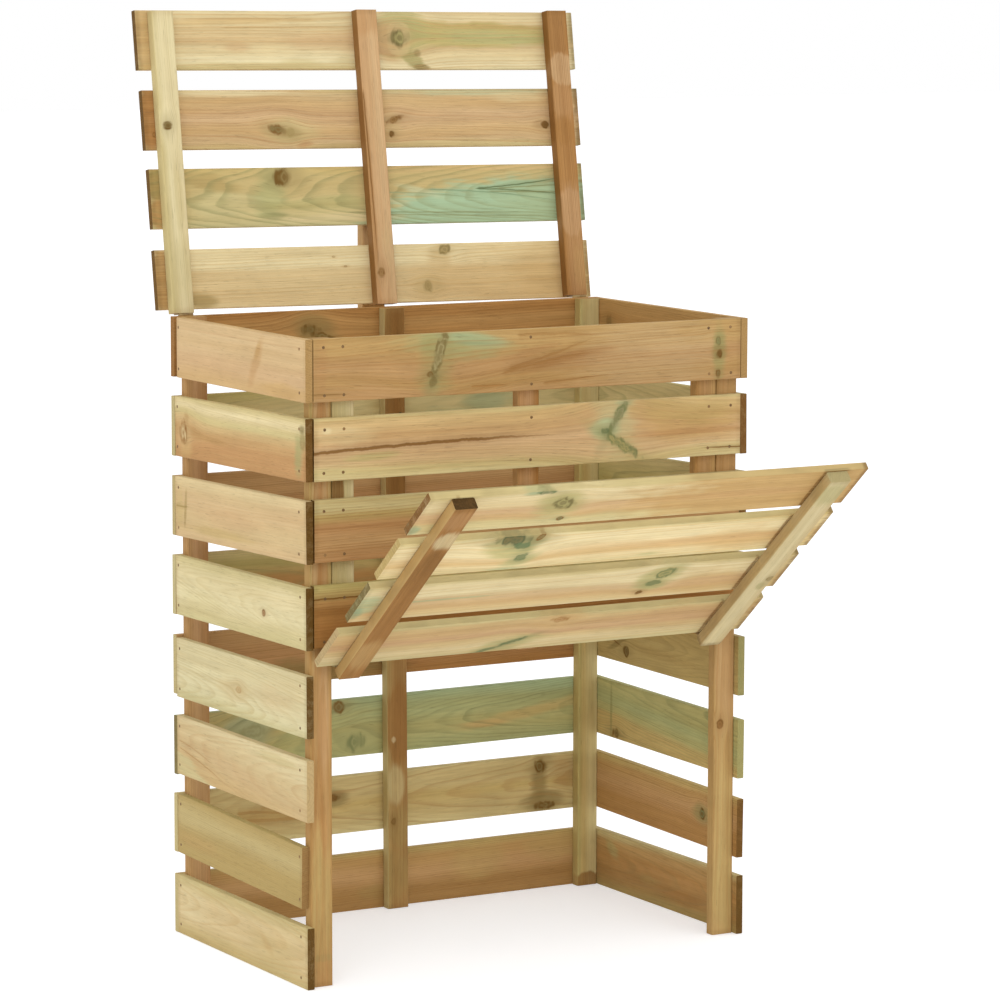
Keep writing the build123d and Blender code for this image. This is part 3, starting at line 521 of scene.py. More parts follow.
BOARDS = {
    # ---- lid -----------------------------------------------------------
    "lid_board_1": dict(
        bands=[(0.0, "straw/olive"), (0.12, "cream"), (0.30, "straw"), (0.46, "sand"), (0.60, "sand/straw"), (0.78, "straw"), (1.0, "cream/straw")],
        grain=(5.6, -170, 45, 0.015, 0.0), line="honey/rose", lines=0.62, streak=0.32, slope=0.02, gain=1.01,
        stains=[(215, 10, 172, 21, "olive", 0.92, -1.0, 0.25), (250, 4, 130, 12, "sage", 0.55, -1.0, 0.6), (220, 24, 160, 5, "tan/olive", 0.5, -1.0, 0.6),
                (72, 14, 50, 34, "olive/sage", 0.75, 0, 0.45), (50, -4, 30, 22, "rose/russet", 0.55, 0, 0.6),
                (94, -22, 38, 13, "olive/moss", 0.80, -50, 0.4), (69.8, 4.1, 22, 17, "straw/olive", 0.7, 0, 0.2), (113, -42, 17, 7, "umber/moss", 0.80, -14, 0.4),
                (104, -12, 8, 6, "moss/umber", 0.6, -40, 0.5),
                (-60, -2, 75, 16, "rose/blush", 0.45, 0, 0.6), (-229, -11, 26, 9, "rose", 0.40, 0, 0.6),
                (-250, 30, 180, 5, "honey", 0.50, 1.5, 0.6), (30, 4, 60, 20, "rose/blush", 0.50, 0, 0.6),
                (-393, 0, 20, 60, "tan/honey", 0.75, 0, 0.3), (-120, -36, 34, 8, "olive/straw", 0.5, 0, 0.6), (-30, -34, 30, 10, "olive/straw", 0.45, 0, 0.6)],
        knots=[(69.8, 4.1, 16, 12.5, "moss/olive", "bottle/walnut", 0.88, 1.0, 0, 0.2)],
        cracks=[(-260, 20, 40, 24, 0, 0.7, "tan", 0.5), (-330, 34, -60, 37, 0, 0.5, "tan", 0.4)],
        ends=("bark", "moss/walnut"), tips=(0.5, 0.95)),
    "lid_board_2": dict(
        bands=[(0.0, "blush/olive"), (0.12, "blush/sand"), (0.30, "blush/honey"), (0.5, "blush"), (0.75, "blush/honey"), (0.92, "sand"), (1.0, "straw/olive")],
        grain=(4.2, 175, -40, -0.02, 0.0), line="rose/russet", lines=0.55, streak=0.45, gain=1.0,
        stains=[(-250, 42, 120, 6, "cream/straw", 0.75, 0, 0.5), (210, 43, 150, 6, "jade/straw", 0.75, 0, 0.5),
                (200, -42, 180, 7, "straw/olive", 0.65, 0, 0.5), (285, 34, 55, 9, "straw", 0.6, 0, 0.5),
                (-138, -20, 50, 15, "olive/straw", 0.6, 0, 0.6), (-118, -38, 16, 6, "rose/russet", 0.6, 0, 0.5),
                (-392, 0, 20, 60, "russet", 0.90, 0, 0.3), (8, 0, 30, 60, "honey/tan", 0.55, 0, 0.6), (48, -12, 16, 20, "olive/blush", 0.5, 0, 0.6)],
        knots=[(-166, -17, 14, 7, "walnut/moss", "walnut", 0.90, 0.7, -14, 0.6), (-143, -22, 7, 6, "moss/tan", "moss/tan", 0.6, 0.4, 0, 0.6),
               (50, -2, 11, 5, "walnut/tan", "walnut", 0.9, 0.7, 18, 0.5), (44.3, -26.2, 4.5, 5.0, "walnut", "bark", 0.9, 0.6, 0, 0.4),
               (337, -13, 8, 5, "walnut", "bark", 0.9, 0.7, 0, 0.5), (-386, -24, 5, 4, "russet", "walnut", 0.7, 0.5)],
        ends=("bark", "bark"), tips=(0.5, 0.95)),
    "lid_board_3": dict(
        bands=[(0.0, "straw/sage"), (0.22, "olive/straw"), (0.5, "sand/olive"), (0.75, "sand/olive"), (1.0, "honey/olive")],
        grain=(4.0, 2, -64, 0.0, 0.075), line="moss", lines=0.5, wave=1.5, streak=0.24, gain=1.09,
        stains=[(238, -50, 262, 75, "jade", 0.92, 3.4, 0.16), (60, 43, 120, 8, "honey/sand", 0.6, 0, 0.6),
                (330, -8, 90, 40, "jade/sage", 0.45, 0, 0.6), (250, 43, 150, 6, "honey/sand", 0.7, 0, 0.5),
                (-190, 2, 40, 30, "sage", 0.65, 70, 0.5), (-292, 24, 52, 15, "umber/olive", 0.55, -12, 0.5), (-270, -10, 70, 22, "sage/straw", 0.6, 0, 0.5),
                (-90, -10, 120, 12, "sage/olive", 0.55, 0, 0.5), (-185, -30, 24, 7, "moss", 0.55, 0, 0.5),
                (-60, -36, 130, 7, "straw", 0.6, 0, 0.5), (-390, 24, 18, 26, "umber/olive", 0.90, 0, 0.2), (-390, -26, 18, 26, "tan/russet", 0.85, 0, 0.3),
                (90, 6, 44, 6, "cream/jade", 0.6, -14, 0.6), (50, -12, 22, 5, "cream/jade", 0.5, -10, 0.6)],
        knots=[(-161, 32, 15, 13.5, "moss/umber", "bark", 0.9, 1.0, 0, 0.55)],
        cracks=[(190, 8, 400, 30, -3, 1.5, "bottle", 0.85), (190, 8, 400, -9, 3, 1.4, "bottle", 0.85),
                (232, 8, 400, 14, 0, 1.0, "moss", 0.65), (215, 3, 400, 0, 0, 1.0, "moss", 0.65),
                (95, 8, 395, -22, 6, 1.2, "bottle/jade", 0.75), (-60, -27, 395, -35, 0, 0.9, "moss", 0.6),
                (-20, -31, 400, -42, 0, 0.8, "moss", 0.5), (20, 4, 240, -14, 4, 0.9, "moss/jade", 0.6)],
        ends=("bark", "bottle/walnut"), tips=(0.5, 0.95)),
    "lid_board_4": dict(
        bands=[(0.0, "straw"), (0.15, "sand/straw"), (0.5, "sand/straw"), (0.58, "sand/straw"), (0.68, "cream"), (1.0, "cream/straw")],
        grain=STRAIGHT, line="honey", lines=0.42, streak=0.28, wander=0.10, gain=1.13,
        stains=[(240, -10, 200, 46, "honey/sand", 0.6, 0, 0.6), (330, 0, 80, 60, "honey/tan", 0.45, 0, 0.6), (115, 20, 30, 20, "tan/straw", 0.5, 60, 0.6),
                (-322, -36, 30, 14, "moss/tan", 0.75, 0, 0.5), (-393, 0, 20, 60, "umber/tan", 0.90, 0, 0.3),
                (398, 0, 14, 60, "olive/tan", 0.5, 0, 0.3)],
        knots=[(126.6, 38, 10, 6.5, "moss/tan", "walnut/moss", 0.8, 0.7, 10), (91, -22, 10, 9.5, "tan/moss", "moss/umber", 0.7, 0.8),
               (-60, 14, 3, 1.5, "tan", "walnut", 0.5, 0.0), (-80, 30, 3, 1.5, "tan", "walnut", 0.4, 0.0)],
        ends=("bark", "walnut"), tips=(0.5, 0.9)),
    "lid_batten_left": dict(
        bands=[(0.0, "straw/olive"), (0.5, "cream"), (1.0, "straw/cream")],
        grain=(2.2, 60, 30, 0.004, 0.0), line="olive", lines=0.42, streak=0.22, gain=0.97,
        stains=[(150, 0, 90, 20, "cream", 0.5), (-60, 4, 60, 8, "olive/straw", 0.45), (-170, 0, 50, 20, "straw/olive", 0.4)],
        knots=[(57.2, -3.8, 7, 8, "walnut/moss", "bark", 0.95, 0.9)],
        ends=("tan", "tan"), edge=("olive/straw", 0.5)),
    "lid_batten_middle": dict(
        bands=[(0.0, "rose"), (0.45, "rose/blush"), (0.7, "blush"), (1.0, "rose/blush")],
        grain=(2.4, 70, 30, 0.01, 0.0), line="russet/rose", lines=0.5, streak=0.30, gain=1.06,
        stains=[(225, 0, 26, 30, "russet/rose", 0.55), (30, 6, 60, 8, "blush", 0.6), (-150, 6, 40, 9, "blush/sand", 0.6),
                (-60, -16, 170, 5, "russet", 0.5, 0, 0.6)],
        knots=[(-190, -10, 7, 6, "tan/walnut", "walnut", 0.75, 0.8)],
        cracks=[(120, -16, -235, -15, 1, 1.4, "walnut", 0.75)],
        # dark side faces: partly the batten's tone, partly painted shade
        ends=("russet", "walnut"), edge=("umber/walnut", 0.85)),
    "lid_batten_right": dict(
        bands=[(0.0, "russet"), (0.4, "rose/russet"), (0.75, "russet/rose"), (1.0, "russet")],
        grain=(2.6, 60, 25, 0.0, 0.0), line="umber", lines=0.55, streak=0.36, gain=0.97,
        stains=[(212, 0, 46, 30, "umber/russet", 0.6, 0, 0.12), (140, 4, 28, 26, "blush/rose", 0.85, 0, 0.15),
                (90, 0, 26, 30, "russet/rose", 0.7, 0, 0.2), (38, -4, 26, 20, "umber/russet", 0.55, 0, 0.3), (0, 0, 60, 30, "russet", 0.7, 0, 0.2),
                (-100, 0, 40, 30, "rose", 0.75, 0, 0.15), (-190, 8, 40, 14, "tan", 0.4)],
        ends=("walnut", "walnut"), edge=("umber/walnut", 0.7)),
    # ---- front ---------------------------------------------------------
    "front_board_1": dict(
        bands=[(0.0, "rose/tan"), (0.25, "tan"), (0.5, "tan/rose"), (0.75, "tan/honey"), (1.0, "honey/tan")],
        grain=(4.6, -150, 45, 0.03, 0.0), line="russet", lines=0.42, streak=0.38, gain=0.94,
        stains=[(-142, 26, 100, 15, "sage", 0.80, -3, 0.55), (-110, 30, 70, 8, "jade/sage", 0.60, -4, 0.5), (-172, 0, 30, 48, "olive/moss", 0.55, 0, 0.6), (210, 2, 130, 60, "blush/sand", 0.5, 0, 0.5),
                (40, -4, 60, 8, "russet", 0.4, 12, 0.6), (0, 14, 50, 6, "russet/rose", 0.5, 10, 0.6), (90, 6, 60, 7, "russet/rose", 0.5, 6, 0.6),
                (-177, -20, 22, 12, "moss/olive", 0.75, 72, 0.5), (342, -4, 13, 46, "moss/olive", 0.80, 0, 0.5), (-250, -30, 120, 14, "rose", 0.45, 0, 0.6),
                (-372, 0, 14, 50, "rose/russet", 0.4, 0, 0.5)],
        knots=[(-166, 16, 36, 7.5, "olive/ash", "moss/walnut", 0.88, 0.5, 74, 0.5), (-182, -14, 5, 4, "walnut/moss", "walnut", 0.7, 0.3), (-176, -26, 9, 5, "moss/walnut", "moss/walnut", 0.6, 0.3, 50, 0.4),
               (342, -6, 5.5, 6.5, "walnut", "bark", 0.9, 0.8, 0, 0.5),
               (341, 14, 4, 7, "moss", "walnut/moss", 0.75, 0.5), (341, -38, 4.5, 6, "moss/walnut", "walnut", 0.8, 0.5)],
        cracks=[(-394, -36, -310, -38, 0, 1.3, "walnut/tan", 0.85), (-60, -20, 150, 10, 5, 2.8, "russet/umber", 0.38), (-48, -13, 130, 36, -3, 3.2, "russet/umber", 0.42),
                (-32, 39, 150, 30, 3, 3.0, "russet/umber", 0.38), (-112, -36, -30, -38, 0, 1.8, "russet", 0.55), (15, -38, 150, -29, 0, 1.6, "russet/umber", 0.5)],
        ends=("tan", "walnut"), edge=("honey", 0.5)),
    "front_board_2": dict(
        bands=[(0.0, "cream/olive"), (0.12, "straw/olive"), (0.28, "blush/sand"), (0.48, "blush"), (0.66, "blush/tan"), (0.86, "sand/honey"), (1.0, "straw/olive")],
        grain=(4.6, -150, 40, -0.02, 0.0), line="rose/russet", lines=0.38, streak=0.38, wander=0.10, gain=1.08,
        stains=[(148, 8, 40, 42, "sage/straw", 0.65, 0, 0.6), (130, 2, 30, 8, "jade/sage", 0.75, 0, 0.6), (170, 28, 26, 14, "jade/sage", 0.5, 40, 0.6),
                (290, 0, 100, 22, "tan/honey", 0.7, 0, 0.6), (-340, 20, 60, 14, "straw", 0.5, 0, 0.6), (-360, 29, 9, 6, "cream/straw", 0.7, 0, 0.5), (-280, -14, 44, 6, "olive/sage", 0.6, 3, 0.6), (300, 24, 110, 20, "tan/olive", 0.65, 0, 0.6), (300, -6, 110, 5, "rose/russet", 0.5, 0, 0.6)],
        knots=[(155, 25, 28, 6.4, "ash/moss", "bottle/moss", 0.88, 0.5, 58, 0.6), (160, -21, 30, 7.2, "moss/olive", "bottle/moss", 0.88, 0.5, -31, 0.6),
               (131, 2, 6, 4.5, "moss/bottle", "bottle", 0.75, 0.5, 0, 0.7)],
        cracks=[(-420, -7, 116, 0, 5, 3.5, "walnut", 0.85), (-384, 42, -40, 44, 0, 0.6, "tan", 0.4), (390, -36.5, 300, -34.5, 0, 1.4, "walnut", 0.85)],
        ends=("bark", "walnut"), edge=("straw/olive", 0.5)),
    "front_board_3": dict(
        bands=[(0.0, "rose/russet"), (0.3, "rose/tan"), (0.55, "rose/russet"), (0.72, "tan/olive"), (0.82, "olive/straw"), (1.0, "straw/olive")],
        grain=(4.6, -150, 45, 0.01, 0.0), line="russet/umber", lines=0.5, streak=0.46, wander=0.07, gain=0.95,
        ends=("bark", "walnut"), edge=("straw/olive", 0.4)),
    "front_board_4": dict(
        bands=[(0.0, "russet/umber"), (0.3, "russet"), (0.6, "russet/umber"), (0.72, "tan/russet"), (0.82, "olive/tan"), (1.0, "olive")],
        grain=(4.6, -150, 45, 0.01, 0.0), line="umber", lines=0.5, streak=0.3, wander=0.06, gain=1.03,
        cracks=[(-420, 27, 60, 28, 0, 1.8, "walnut", 0.9)],
        ends=("bark", "walnut"), edge=("olive", 0.4)),
    # ---- hatch (the low edge is the far edge) ---------------------------
    "hatch_board_1": dict(
        bands=[(0.0, "straw/olive"), (0.18, "cream/straw"), (0.36, "straw"), (0.52, "blush"), (0.66, "blush/honey"), (0.80, "straw/olive"), (1.0, "cream/olive")],
        grain=STRAIGHT_UP, line="honey", lines=0.5, streak=0.32, wander=0.14, gain=1.03,
        stains=[(362, 0, 20, 80, "tan/olive", 0.5, 0, 0.4), (-150, -12, 38, 28, "olive/sage", 0.75, 0, 0.6), (-197, -44, 24, 7, "jade/sage", 0.85, 0, 0.5), (290, 0, 300, 90, "honey/tan/tan", 0.95, 0, 0.35), (-376, 36, 12, 12, "bottle/jade", 0.7, 0, 0.5),
                (200, -4, 170, 12, "rose/tan", 0.60, 0, 0.6), (-330, 10, 50, 10, "blush", 0.5, 0, 0.6),
                (-150, 22, 34, 13, "sage/straw", 0.6, 0, 0.6)],
        # contact marks: painted shadow along the battens' sides and at the right batten's far end
        contact=[(-336, 0, 4, 80, "umber/walnut", 0.62, 0.5), (304, 0, 3.5, 80, "walnut", 0.72, 0.5), (326, -47, 23, 3.0, "bark", 0.90, 0.3)],
        knots=[(-186, -45, 12, 4, "moss/ash", "bottle", 0.9, 0.5, 0, 0.6), (-143, -12, 18, 13, "moss/olive", "bottle/walnut", 0.88, 0.7, 20, 0.75),
               (-130, 31, 6, 4.5, "bottle/moss", "walnut", 0.9, 0.6, 0, 0.5)],
        ends=("umber/walnut", "walnut"), tips=(0.3, 0.9), bare=0.45, edge=("olive/straw", 0.5)),
    "hatch_board_2": dict(
        bands=[(0.0, "straw/olive"), (0.14, "cream/straw"), (0.34, "cream/straw"), (0.50, "sand"), (0.64, "honey/sand"), (0.78, "straw"), (1.0, "cream/olive")],
        grain=STRAIGHT_UP, line="honey", lines=0.55, streak=0.32, wander=0.14, gain=1.13,
        # the first stain, darker left of the right batten, is partly the wood's honey tone and partly painted shade
        # from the batten
        stains=[(235, 8, 80, 40, "honey/tan", 0.55, 0, 0.6), (362, 0, 20, 80, "tan/olive", 0.55, 0, 0.4), (-178, -30, 48, 26, "sage/olive", 0.8, 0, 0.5), (-150, 10, 34, 18, "sage", 0.65, -20, 0.5),
                (180, 4, 190, 11, "honey/rose", 0.6, 0, 0.6), (-165, 38, 34, 9, "jade/sage", 0.7, 0, 0.6), (80, 34, 22, 5, "sage", 0.5, 0, 0.6)],
        # contact marks: painted shadow along the battens' sides
        contact=[(-336, 0, 4, 80, "umber/walnut", 0.62, 0.5), (304, 0, 3.5, 80, "walnut", 0.72, 0.5)],
        knots=[(-183, -38, 26, 13, "bottle/walnut", "bottle/pitch", 0.92, 0.8, 8, 0.75), (-160, -20, 12, 8, "bottle", "bottle", 0.85, 0.5, 0, 0.6),
               (-140, -40, 5, 9, "walnut/moss", "walnut", 0.9, 0.5, 20), (-150, 14, 8, 10, "bottle/moss", "bottle", 0.80, 0.4, 30, 0.6)],
        ends=("tan/olive", "walnut"), tips=(0.3, 0.9), bare=0.45, edge=("olive/straw", 0.5)),
    "hatch_board_3": dict(
        bands=[(0.0, "straw/olive"), (0.14, "cream/straw"), (0.38, "cream/straw"), (0.55, "blush/sand"), (0.72, "blush/honey"), (0.86, "straw/honey"), (1.0, "straw")],
        grain=STRAIGHT_UP, line="honey", lines=0.5, streak=0.22, wander=0.12, gain=0.99,
        # the first stain, darker left of the right batten, is partly the wood's honey tone and partly painted shade
        # from the batten
        stains=[(240, 10, 70, 40, "honey/tan", 0.60, 0, 0.6), (362, 0, 20, 80, "tan/olive", 0.55, 0, 0.4), (140, -10, 40, 28, "olive/sage", 0.7, -25, 0.5), (140, 8, 24, 10, "sage/olive", 0.65, 0, 0.5),
                (-240, 2, 90, 3, "jade/sage", 0.6, 0, 0.5), (250, 12, 100, 14, "blush/rose", 0.5, 0, 0.6),
                (-368, 0, 26, 30, "jade/sage", 0.7, 0, 0.5), (-377, 20, 12, 16, "bottle/jade", 0.7, 0, 0.5)],
        # contact marks: painted shadow along the battens' sides
        contact=[(-336, 0, 4, 80, "umber/walnut", 0.62, 0.5), (304, 0, 3.5, 80, "walnut", 0.72, 0.5)],
        knots=[(148, -22, 15, 10, "moss/olive", "bottle/moss", 0.92, 0.7, -30, 0.65), (136, 6, 11, 7, "bottle/moss", "bottle/moss", 0.88, 0.5, 0, 0.6),
               (123.7, 30.1, 5, 5.5, "walnut", "bark", 0.9, 0.6)],
        ends=("moss/walnut", "walnut"), tips=(0.3, 0.9), bare=0.45, edge=("olive/straw", 0.5)),
    "hatch_board_4": dict(
        bands=[(0.0, "straw/olive"), (0.10, "honey/sand"), (0.28, "blush/honey"), (0.46, "blush/rose"), (0.62, "straw/honey"), (0.80, "straw"), (1.0, "cream/olive")],
        grain=STRAIGHT_UP, line="honey", lines=0.5, streak=0.30, wander=0.12, gain=0.93,
        # the first stain, darker left of the right batten, is partly the wood's tone and partly painted shade from the
        # batten
        stains=[(240, -12, 90, 30, "rose/tan", 0.45, 0, 0.6), (362, 0, 20, 80, "tan/olive", 0.5, 0, 0.4), (200, -18, 170, 14, "rose/blush", 0.6, 0, 0.6), (-60, 30, 66, 13, "sage/olive", 0.7, -14, 0.5), (20, -38, 40, 8, "honey", 0.5, 0, 0.6)],
        # contact marks: painted shadow along the battens' sides
        contact=[(-336, 0, 4, 80, "umber/walnut", 0.62, 0.5), (304, 0, 3.5, 80, "walnut", 0.72, 0.5)],
        knots=[(11.3, -34, 13, 7.5, "rose/tan", "russet/umber", 0.8, 0.7, 0, 0.5), (-50, 22, 20, 4, "moss/bottle", "bottle", 0.8, 0.4, -24, 0.6),
               (-86, 40, 18, 3.4, "moss/bottle", "bottle", 0.7, 0.3, -18, 0.6)],
        ends=("straw/tan", "walnut"), tips=(0.1, 0.9), bare=0.45, edge=("olive/straw", 0.5)),
    "hatch_batten_left": dict(
        bands=[(0.0, "russet"), (0.4, "russet/umber"), (0.8, "russet"), (1.0, "russet/umber")],
        grain=(2.4, 60, 30, 0.0, 0.0), line="umber", lines=0.6, streak=0.38, gain=0.88,
        stains=[(-150, 4, 24, 22, "sand/straw", 0.92, 0, 0.4), (-70, 2, 58, 30, "umber/walnut", 0.70, 0, 0.4), (40, 0, 110, 30, "umber/russet", 0.70, 0, 0.4),
                (-205, 0, 26, 30, "rose/russet", 0.6, 0, 0.4), (170, 0, 44, 30, "honey/tan", 0.6, 0, 0.4)],
        # pale honey side faces: partly painted light on the lit side
        ends=("bark/pitch", "tan"), edge=("honey", 0.85)),
    "hatch_batten_right": dict(
        bands=[(0.0, "straw"), (0.5, "cream/straw"), (1.0, "straw/sand")],
        grain=(2.2, 60, 30, 0.0, 0.0), line="olive", lines=0.42, streak=0.26, gain=0.85,
        stains=[(-200, 0, 30, 30, "olive/sage", 0.5), (60, 6, 12, 8, "moss/olive", 0.55)],
        knots=[(40, 12, 7, 5.5, "moss/tan", "walnut/moss", 0.7, 0.6)],
        ends=("straw/olive", "bark"), tips=(0.9, 0.75), edge=("tan/honey", 0.6)),
    # ---- left wall (low end is the front end) ---------------------------
    "left_board_1": dict(
        bands=[(0.0, "blush/honey"), (0.3, "blush"), (0.6, "blush/sand"), (1.0, "sand/blush")],
        grain=(3.8, 160, 45, -0.01, 0.0), line="rose", lines=0.36, streak=0.24, gain=1.02,
        stains=[(-58, 2, 46, 11, "tan/rose", 0.65, 121, 0.6), (-62, 16, 20, 8, "tan", 0.55, 118, 0.5), (-150, -36, 80, 11, "honey/tan", 0.6, 0, 0.5)],
        ends=("tan", "russet"), edge=("honey", 0.4)),
    "left_board_2": dict(
        bands=[(0.0, "rose/russet"), (0.30, "rose/russet"), (0.44, "rose/tan"), (0.55, "tan/sand"), (0.68, "straw/olive"), (0.84, "cream/straw"), (1.0, "straw/olive")],
        grain=(2.8, -160, 45, 0.03, 0.0), line="olive/tan", lines=0.42, streak=0.26, wander=0.07, gain=1.05,
        stains=[(-203, -8, 14, 34, "moss/sage", 0.68, 0, 0.6), (120, -10, 90, 5, "tan/umber", 0.5, 3, 0.6), (-214, 31, 11, 8, "moss/bark", 0.75, 0, 0.5), (-216, 12, 9, 14, "moss/walnut", 0.55, 0, 0.5),
                (75, -37, 50, 9, "russet/rose", 0.6, 0, 0.6), (-60, -38, 60, 7, "rose/russet", 0.5, 0, 0.6), (190, -24, 24, 16, "tan/honey", 0.6, 0, 0.6),
                (186, -2, 10, 18, "tan/umber", 0.55, 10, 0.6)],
        knots=[(196, -9, 10, 16, "straw/sand", "umber", 0.92, 0.9, 0, 0.4)],
        ends=("bark/walnut", "tan"), edge=("straw/olive", 0.4)),
    "left_board_3": dict(
        bands=[(0.0, "sand/blush"), (0.35, "sand"), (0.65, "sand/blush"), (1.0, "sand/straw")],
        grain=(3.8, 160, 45, -0.02, 0.0), line="rose/honey", lines=0.36, streak=0.24, gain=1.0,
        # the first stain, a thin dark line across the board, is painted shade
        stains=[(191, -2, 5, 34, "umber/olive", 0.72, 7, 0.5), (212, 0, 16, 30, "honey/olive", 0.5, 0, 0.6), (40, -6, 120, 16, "blush/rose", 0.4, 0, 0.6),
                (60, -30, 120, 8, "honey/olive", 0.5, 0, 0.6)],
        cracks=[(226, 1, 170, 2, 0, 1.6, "umber/olive", 0.7)],
        ends=("bark", "tan"), edge=("straw", 0.4)),
    "left_board_4": dict(
        bands=[(0.0, "cream/olive"), (0.4, "cream"), (0.7, "cream/straw"), (1.0, "cream/olive")],
        grain=(2.4, 6, -48, 0.05, -0.05), line="olive/tan", lines=0.36, wave=2.6, streak=0.22,
        stains=[(0, 0, 320, 90, "sage", 0.12), (-150, 20, 60, 18, "cream", 0.5), (120, -20, 80, 20, "olive/cream", 0.4)],
        knots=[(-85, -7, 5.5, 5, "walnut/rose", "walnut", 0.85, 0.9)],
        ends=("bark", "tan"), edge=("straw/olive", 0.4)),
    "left_board_5": dict(
        bands=[(0.0, "cream/olive"), (0.3, "cream"), (0.6, "cream/straw"), (1.0, "cream/straw")],
        grain=(3.4, -30, -52, 0.02, 0.06), line="tan/olive", lines=0.36, wave=1.8, streak=0.24, gain=0.95,
        stains=[(0, 0, 320, 90, "jade", 0.10), (-120, 0, 70, 22, "blush/straw", 0.45, 0, 0.6), (10, -6, 60, 16, "tan/straw", 0.4, 0, 0.6), (-180, 20, 50, 14, "straw", 0.5)],
        knots=[(5, -5, 8, 4, "tan/straw", "tan", 0.5, 1.0, 0, 0.3)],
        ends=("bark", "tan"), edge=("straw/olive", 0.4)),
    "left_board_6": dict(
        bands=[(0.0, "sand/honey"), (0.4, "sand"), (0.62, "sand/straw"), (1.0, "straw/cream")],
        grain=(6.0, -4, -50, 0.01, -0.10), line="rose/tan", lines=0.5, wave=1.5, streak=0.24, slope=-0.10, wander=0.12, gain=0.93,
        stains=[(240, -62, 235, 54, "cream/olive", 0.85, 12, 0.14), (20, -10, 120, 18, "blush/rose", 0.22, 8, 0.6), (-120, 34, 80, 9, "olive/straw", 0.5)],
        cracks=[(224, -3, 20, -44, 3, 1.0, "tan/russet", 0.55), (224, 8, 70, -20, 4, 0.8, "tan/russet", 0.45)],
        ends=("sand/honey", "tan"), edge=("straw/olive", 0.4)),
    "left_board_7": dict(
        bands=[(0.0, "olive/tan"), (0.35, "olive/tan"), (0.65, "olive/sand"), (1.0, "olive/tan")],
        grain=(3.0, -150, 45, 0.02, 0.0), line="moss/tan", lines=0.32, streak=0.16, mottle=0.10, gain=0.93,
        stains=[(150, -20, 80, 14, "tan/honey", 0.35, 0, 0.6), (-120, 10, 60, 12, "sand/olive", 0.45, 0, 0.6)],
        ends=("umber/tan", "tan"), edge=("olive", 0.4)),
    "left_board_8": dict(
        bands=[(0.0, "sand/olive"), (0.4, "sand/straw"), (0.7, "sand/straw"), (1.0, "straw/olive")],
        grain=(4.5, 10, -56, 0.01, 0.06), line="honey/tan", lines=0.36, wave=1.4, streak=0.24, gain=0.96,
        stains=[(180, 10, 60, 30, "straw/cream", 0.5, 0, 0.6), (-110, -10, 90, 26, "olive/sand", 0.4, 0, 0.6), (-90, -4, 30, 9, "tan/honey", 0.35, 30, 0.6)],
        ends=("bark", "tan"), edge=("straw/olive", 0.4)),
    # ---- back wall (inner faces are seen) --------------------------------
    "back_board_1": dict(
        bands=[(0.0, "russet/umber"), (0.35, "russet"), (0.7, "russet/tan"), (1.0, "russet")],
        grain=(4.6, -150, -45, 0.02, 0.0), line="umber/walnut", lines=0.5, streak=0.50, gain=1.05,
        stains=[(-140, 14, 40, 14, "moss/umber", 0.55, -10, 0.6)],
        knots=[(-152, 17, 13, 8, "walnut/moss", "bark", 0.9, 0.8, -8, 0.5), (-128, 4, 22, 5, "walnut/moss", "bark", 0.8, 0.4, -14, 0.4)],
        ends=("russet/umber", "walnut")),
    "back_board_2": dict(
        bands=[(0.0, "olive"), (0.4, "olive/straw"), (0.7, "straw/olive"), (1.0, "olive")],
        grain=(4.0, 0, 52, 0.03, -0.05), line="moss", lines=0.25, wave=1.6, streak=0.26,
        stains=[(100, -20, 120, 24, "jade/sage", 0.4, 0, 0.5), (183, 12, 46, 22, "jade/moss", 0.6, 0, 0.6), (-10, 18, 40, 14, "tan/olive", 0.45, 0, 0.6)],
        ends=("straw/olive", "walnut")),
    "back_board_3": dict(
        bands=[(0.0, "russet"), (0.4, "russet/rose"), (0.7, "rose/tan"), (1.0, "tan/rose")],
        grain=(3.2, -150, -45, 0.02, 0.0), line="umber", lines=0.5, streak=0.3,
        ends=("sand/olive", "walnut")),
    "back_board_4": dict(
        bands=[(0.0, "russet/tan"), (0.46, "russet/tan"), (0.60, "olive/tan"), (0.72, "olive"), (1.0, "straw/olive")],
        grain=(4.0, 0, 52, 0.02, 0.05), line="moss", lines=0.5, wave=1.6, streak=0.26, wander=0.10,
        ends=("cream/olive", "walnut")),
    "back_board_5": dict(
        bands=[(0.0, "russet"), (0.4, "russet/rose"), (1.0, "tan/rose")],
        grain=(3.2, 150, -45, 0.02, 0.0), line="umber", lines=0.5, streak=0.3,
        stains=[(-205, -38, 230, 30, "moss/umber", 0.80, 2, 0.45)],
        ends=("straw/olive", "walnut")),
    "back_board_6": dict(
        bands=[(0.0, "sage"), (0.35, "sage/olive"), (0.7, "sage"), (1.0, "jade/sage")],
        grain=(3.4, -10, -54, 0.02, 0.055), line="bottle/moss", lines=0.5, wave=2.2, streak=0.30, mottle=0.22, gain=1.10,
        stains=[(255, -4, 120, 10, "honey/olive", 0.80, 8, 0.55), (170, -16, 50, 6, "honey/tan", 0.55, 0, 0.6), (-100, 20, 60, 18, "sage/olive", 0.5), (-300, 20, 110, 60, "olive/tan", 0.65, 0, 0.6), (-270, 12, 62, 13, "ash/jade", 0.62, 4, 0.7)],
        knots=[(-261, 10, 20, 8, "ash/sage", "moss", 0.5, 0.9, 0, 0.5), (-103, 36, 12, 9, "walnut/moss", "bark/walnut", 0.85, 0.9, 0, 0.5), (-72, -25, 16, 13, "moss/sage", "moss/bottle", 0.85, 1.0, 0, 0.5)],
        ends=("moss/walnut", "walnut"), edge=("sage/jade", 0.5)),
    "back_board_7": dict(
        bands=[(0.0, "olive/straw"), (0.2, "olive/sand"), (0.45, "honey/olive"), (0.62, "olive/sand"), (0.8, "olive/sand"), (1.0, "straw/olive")],
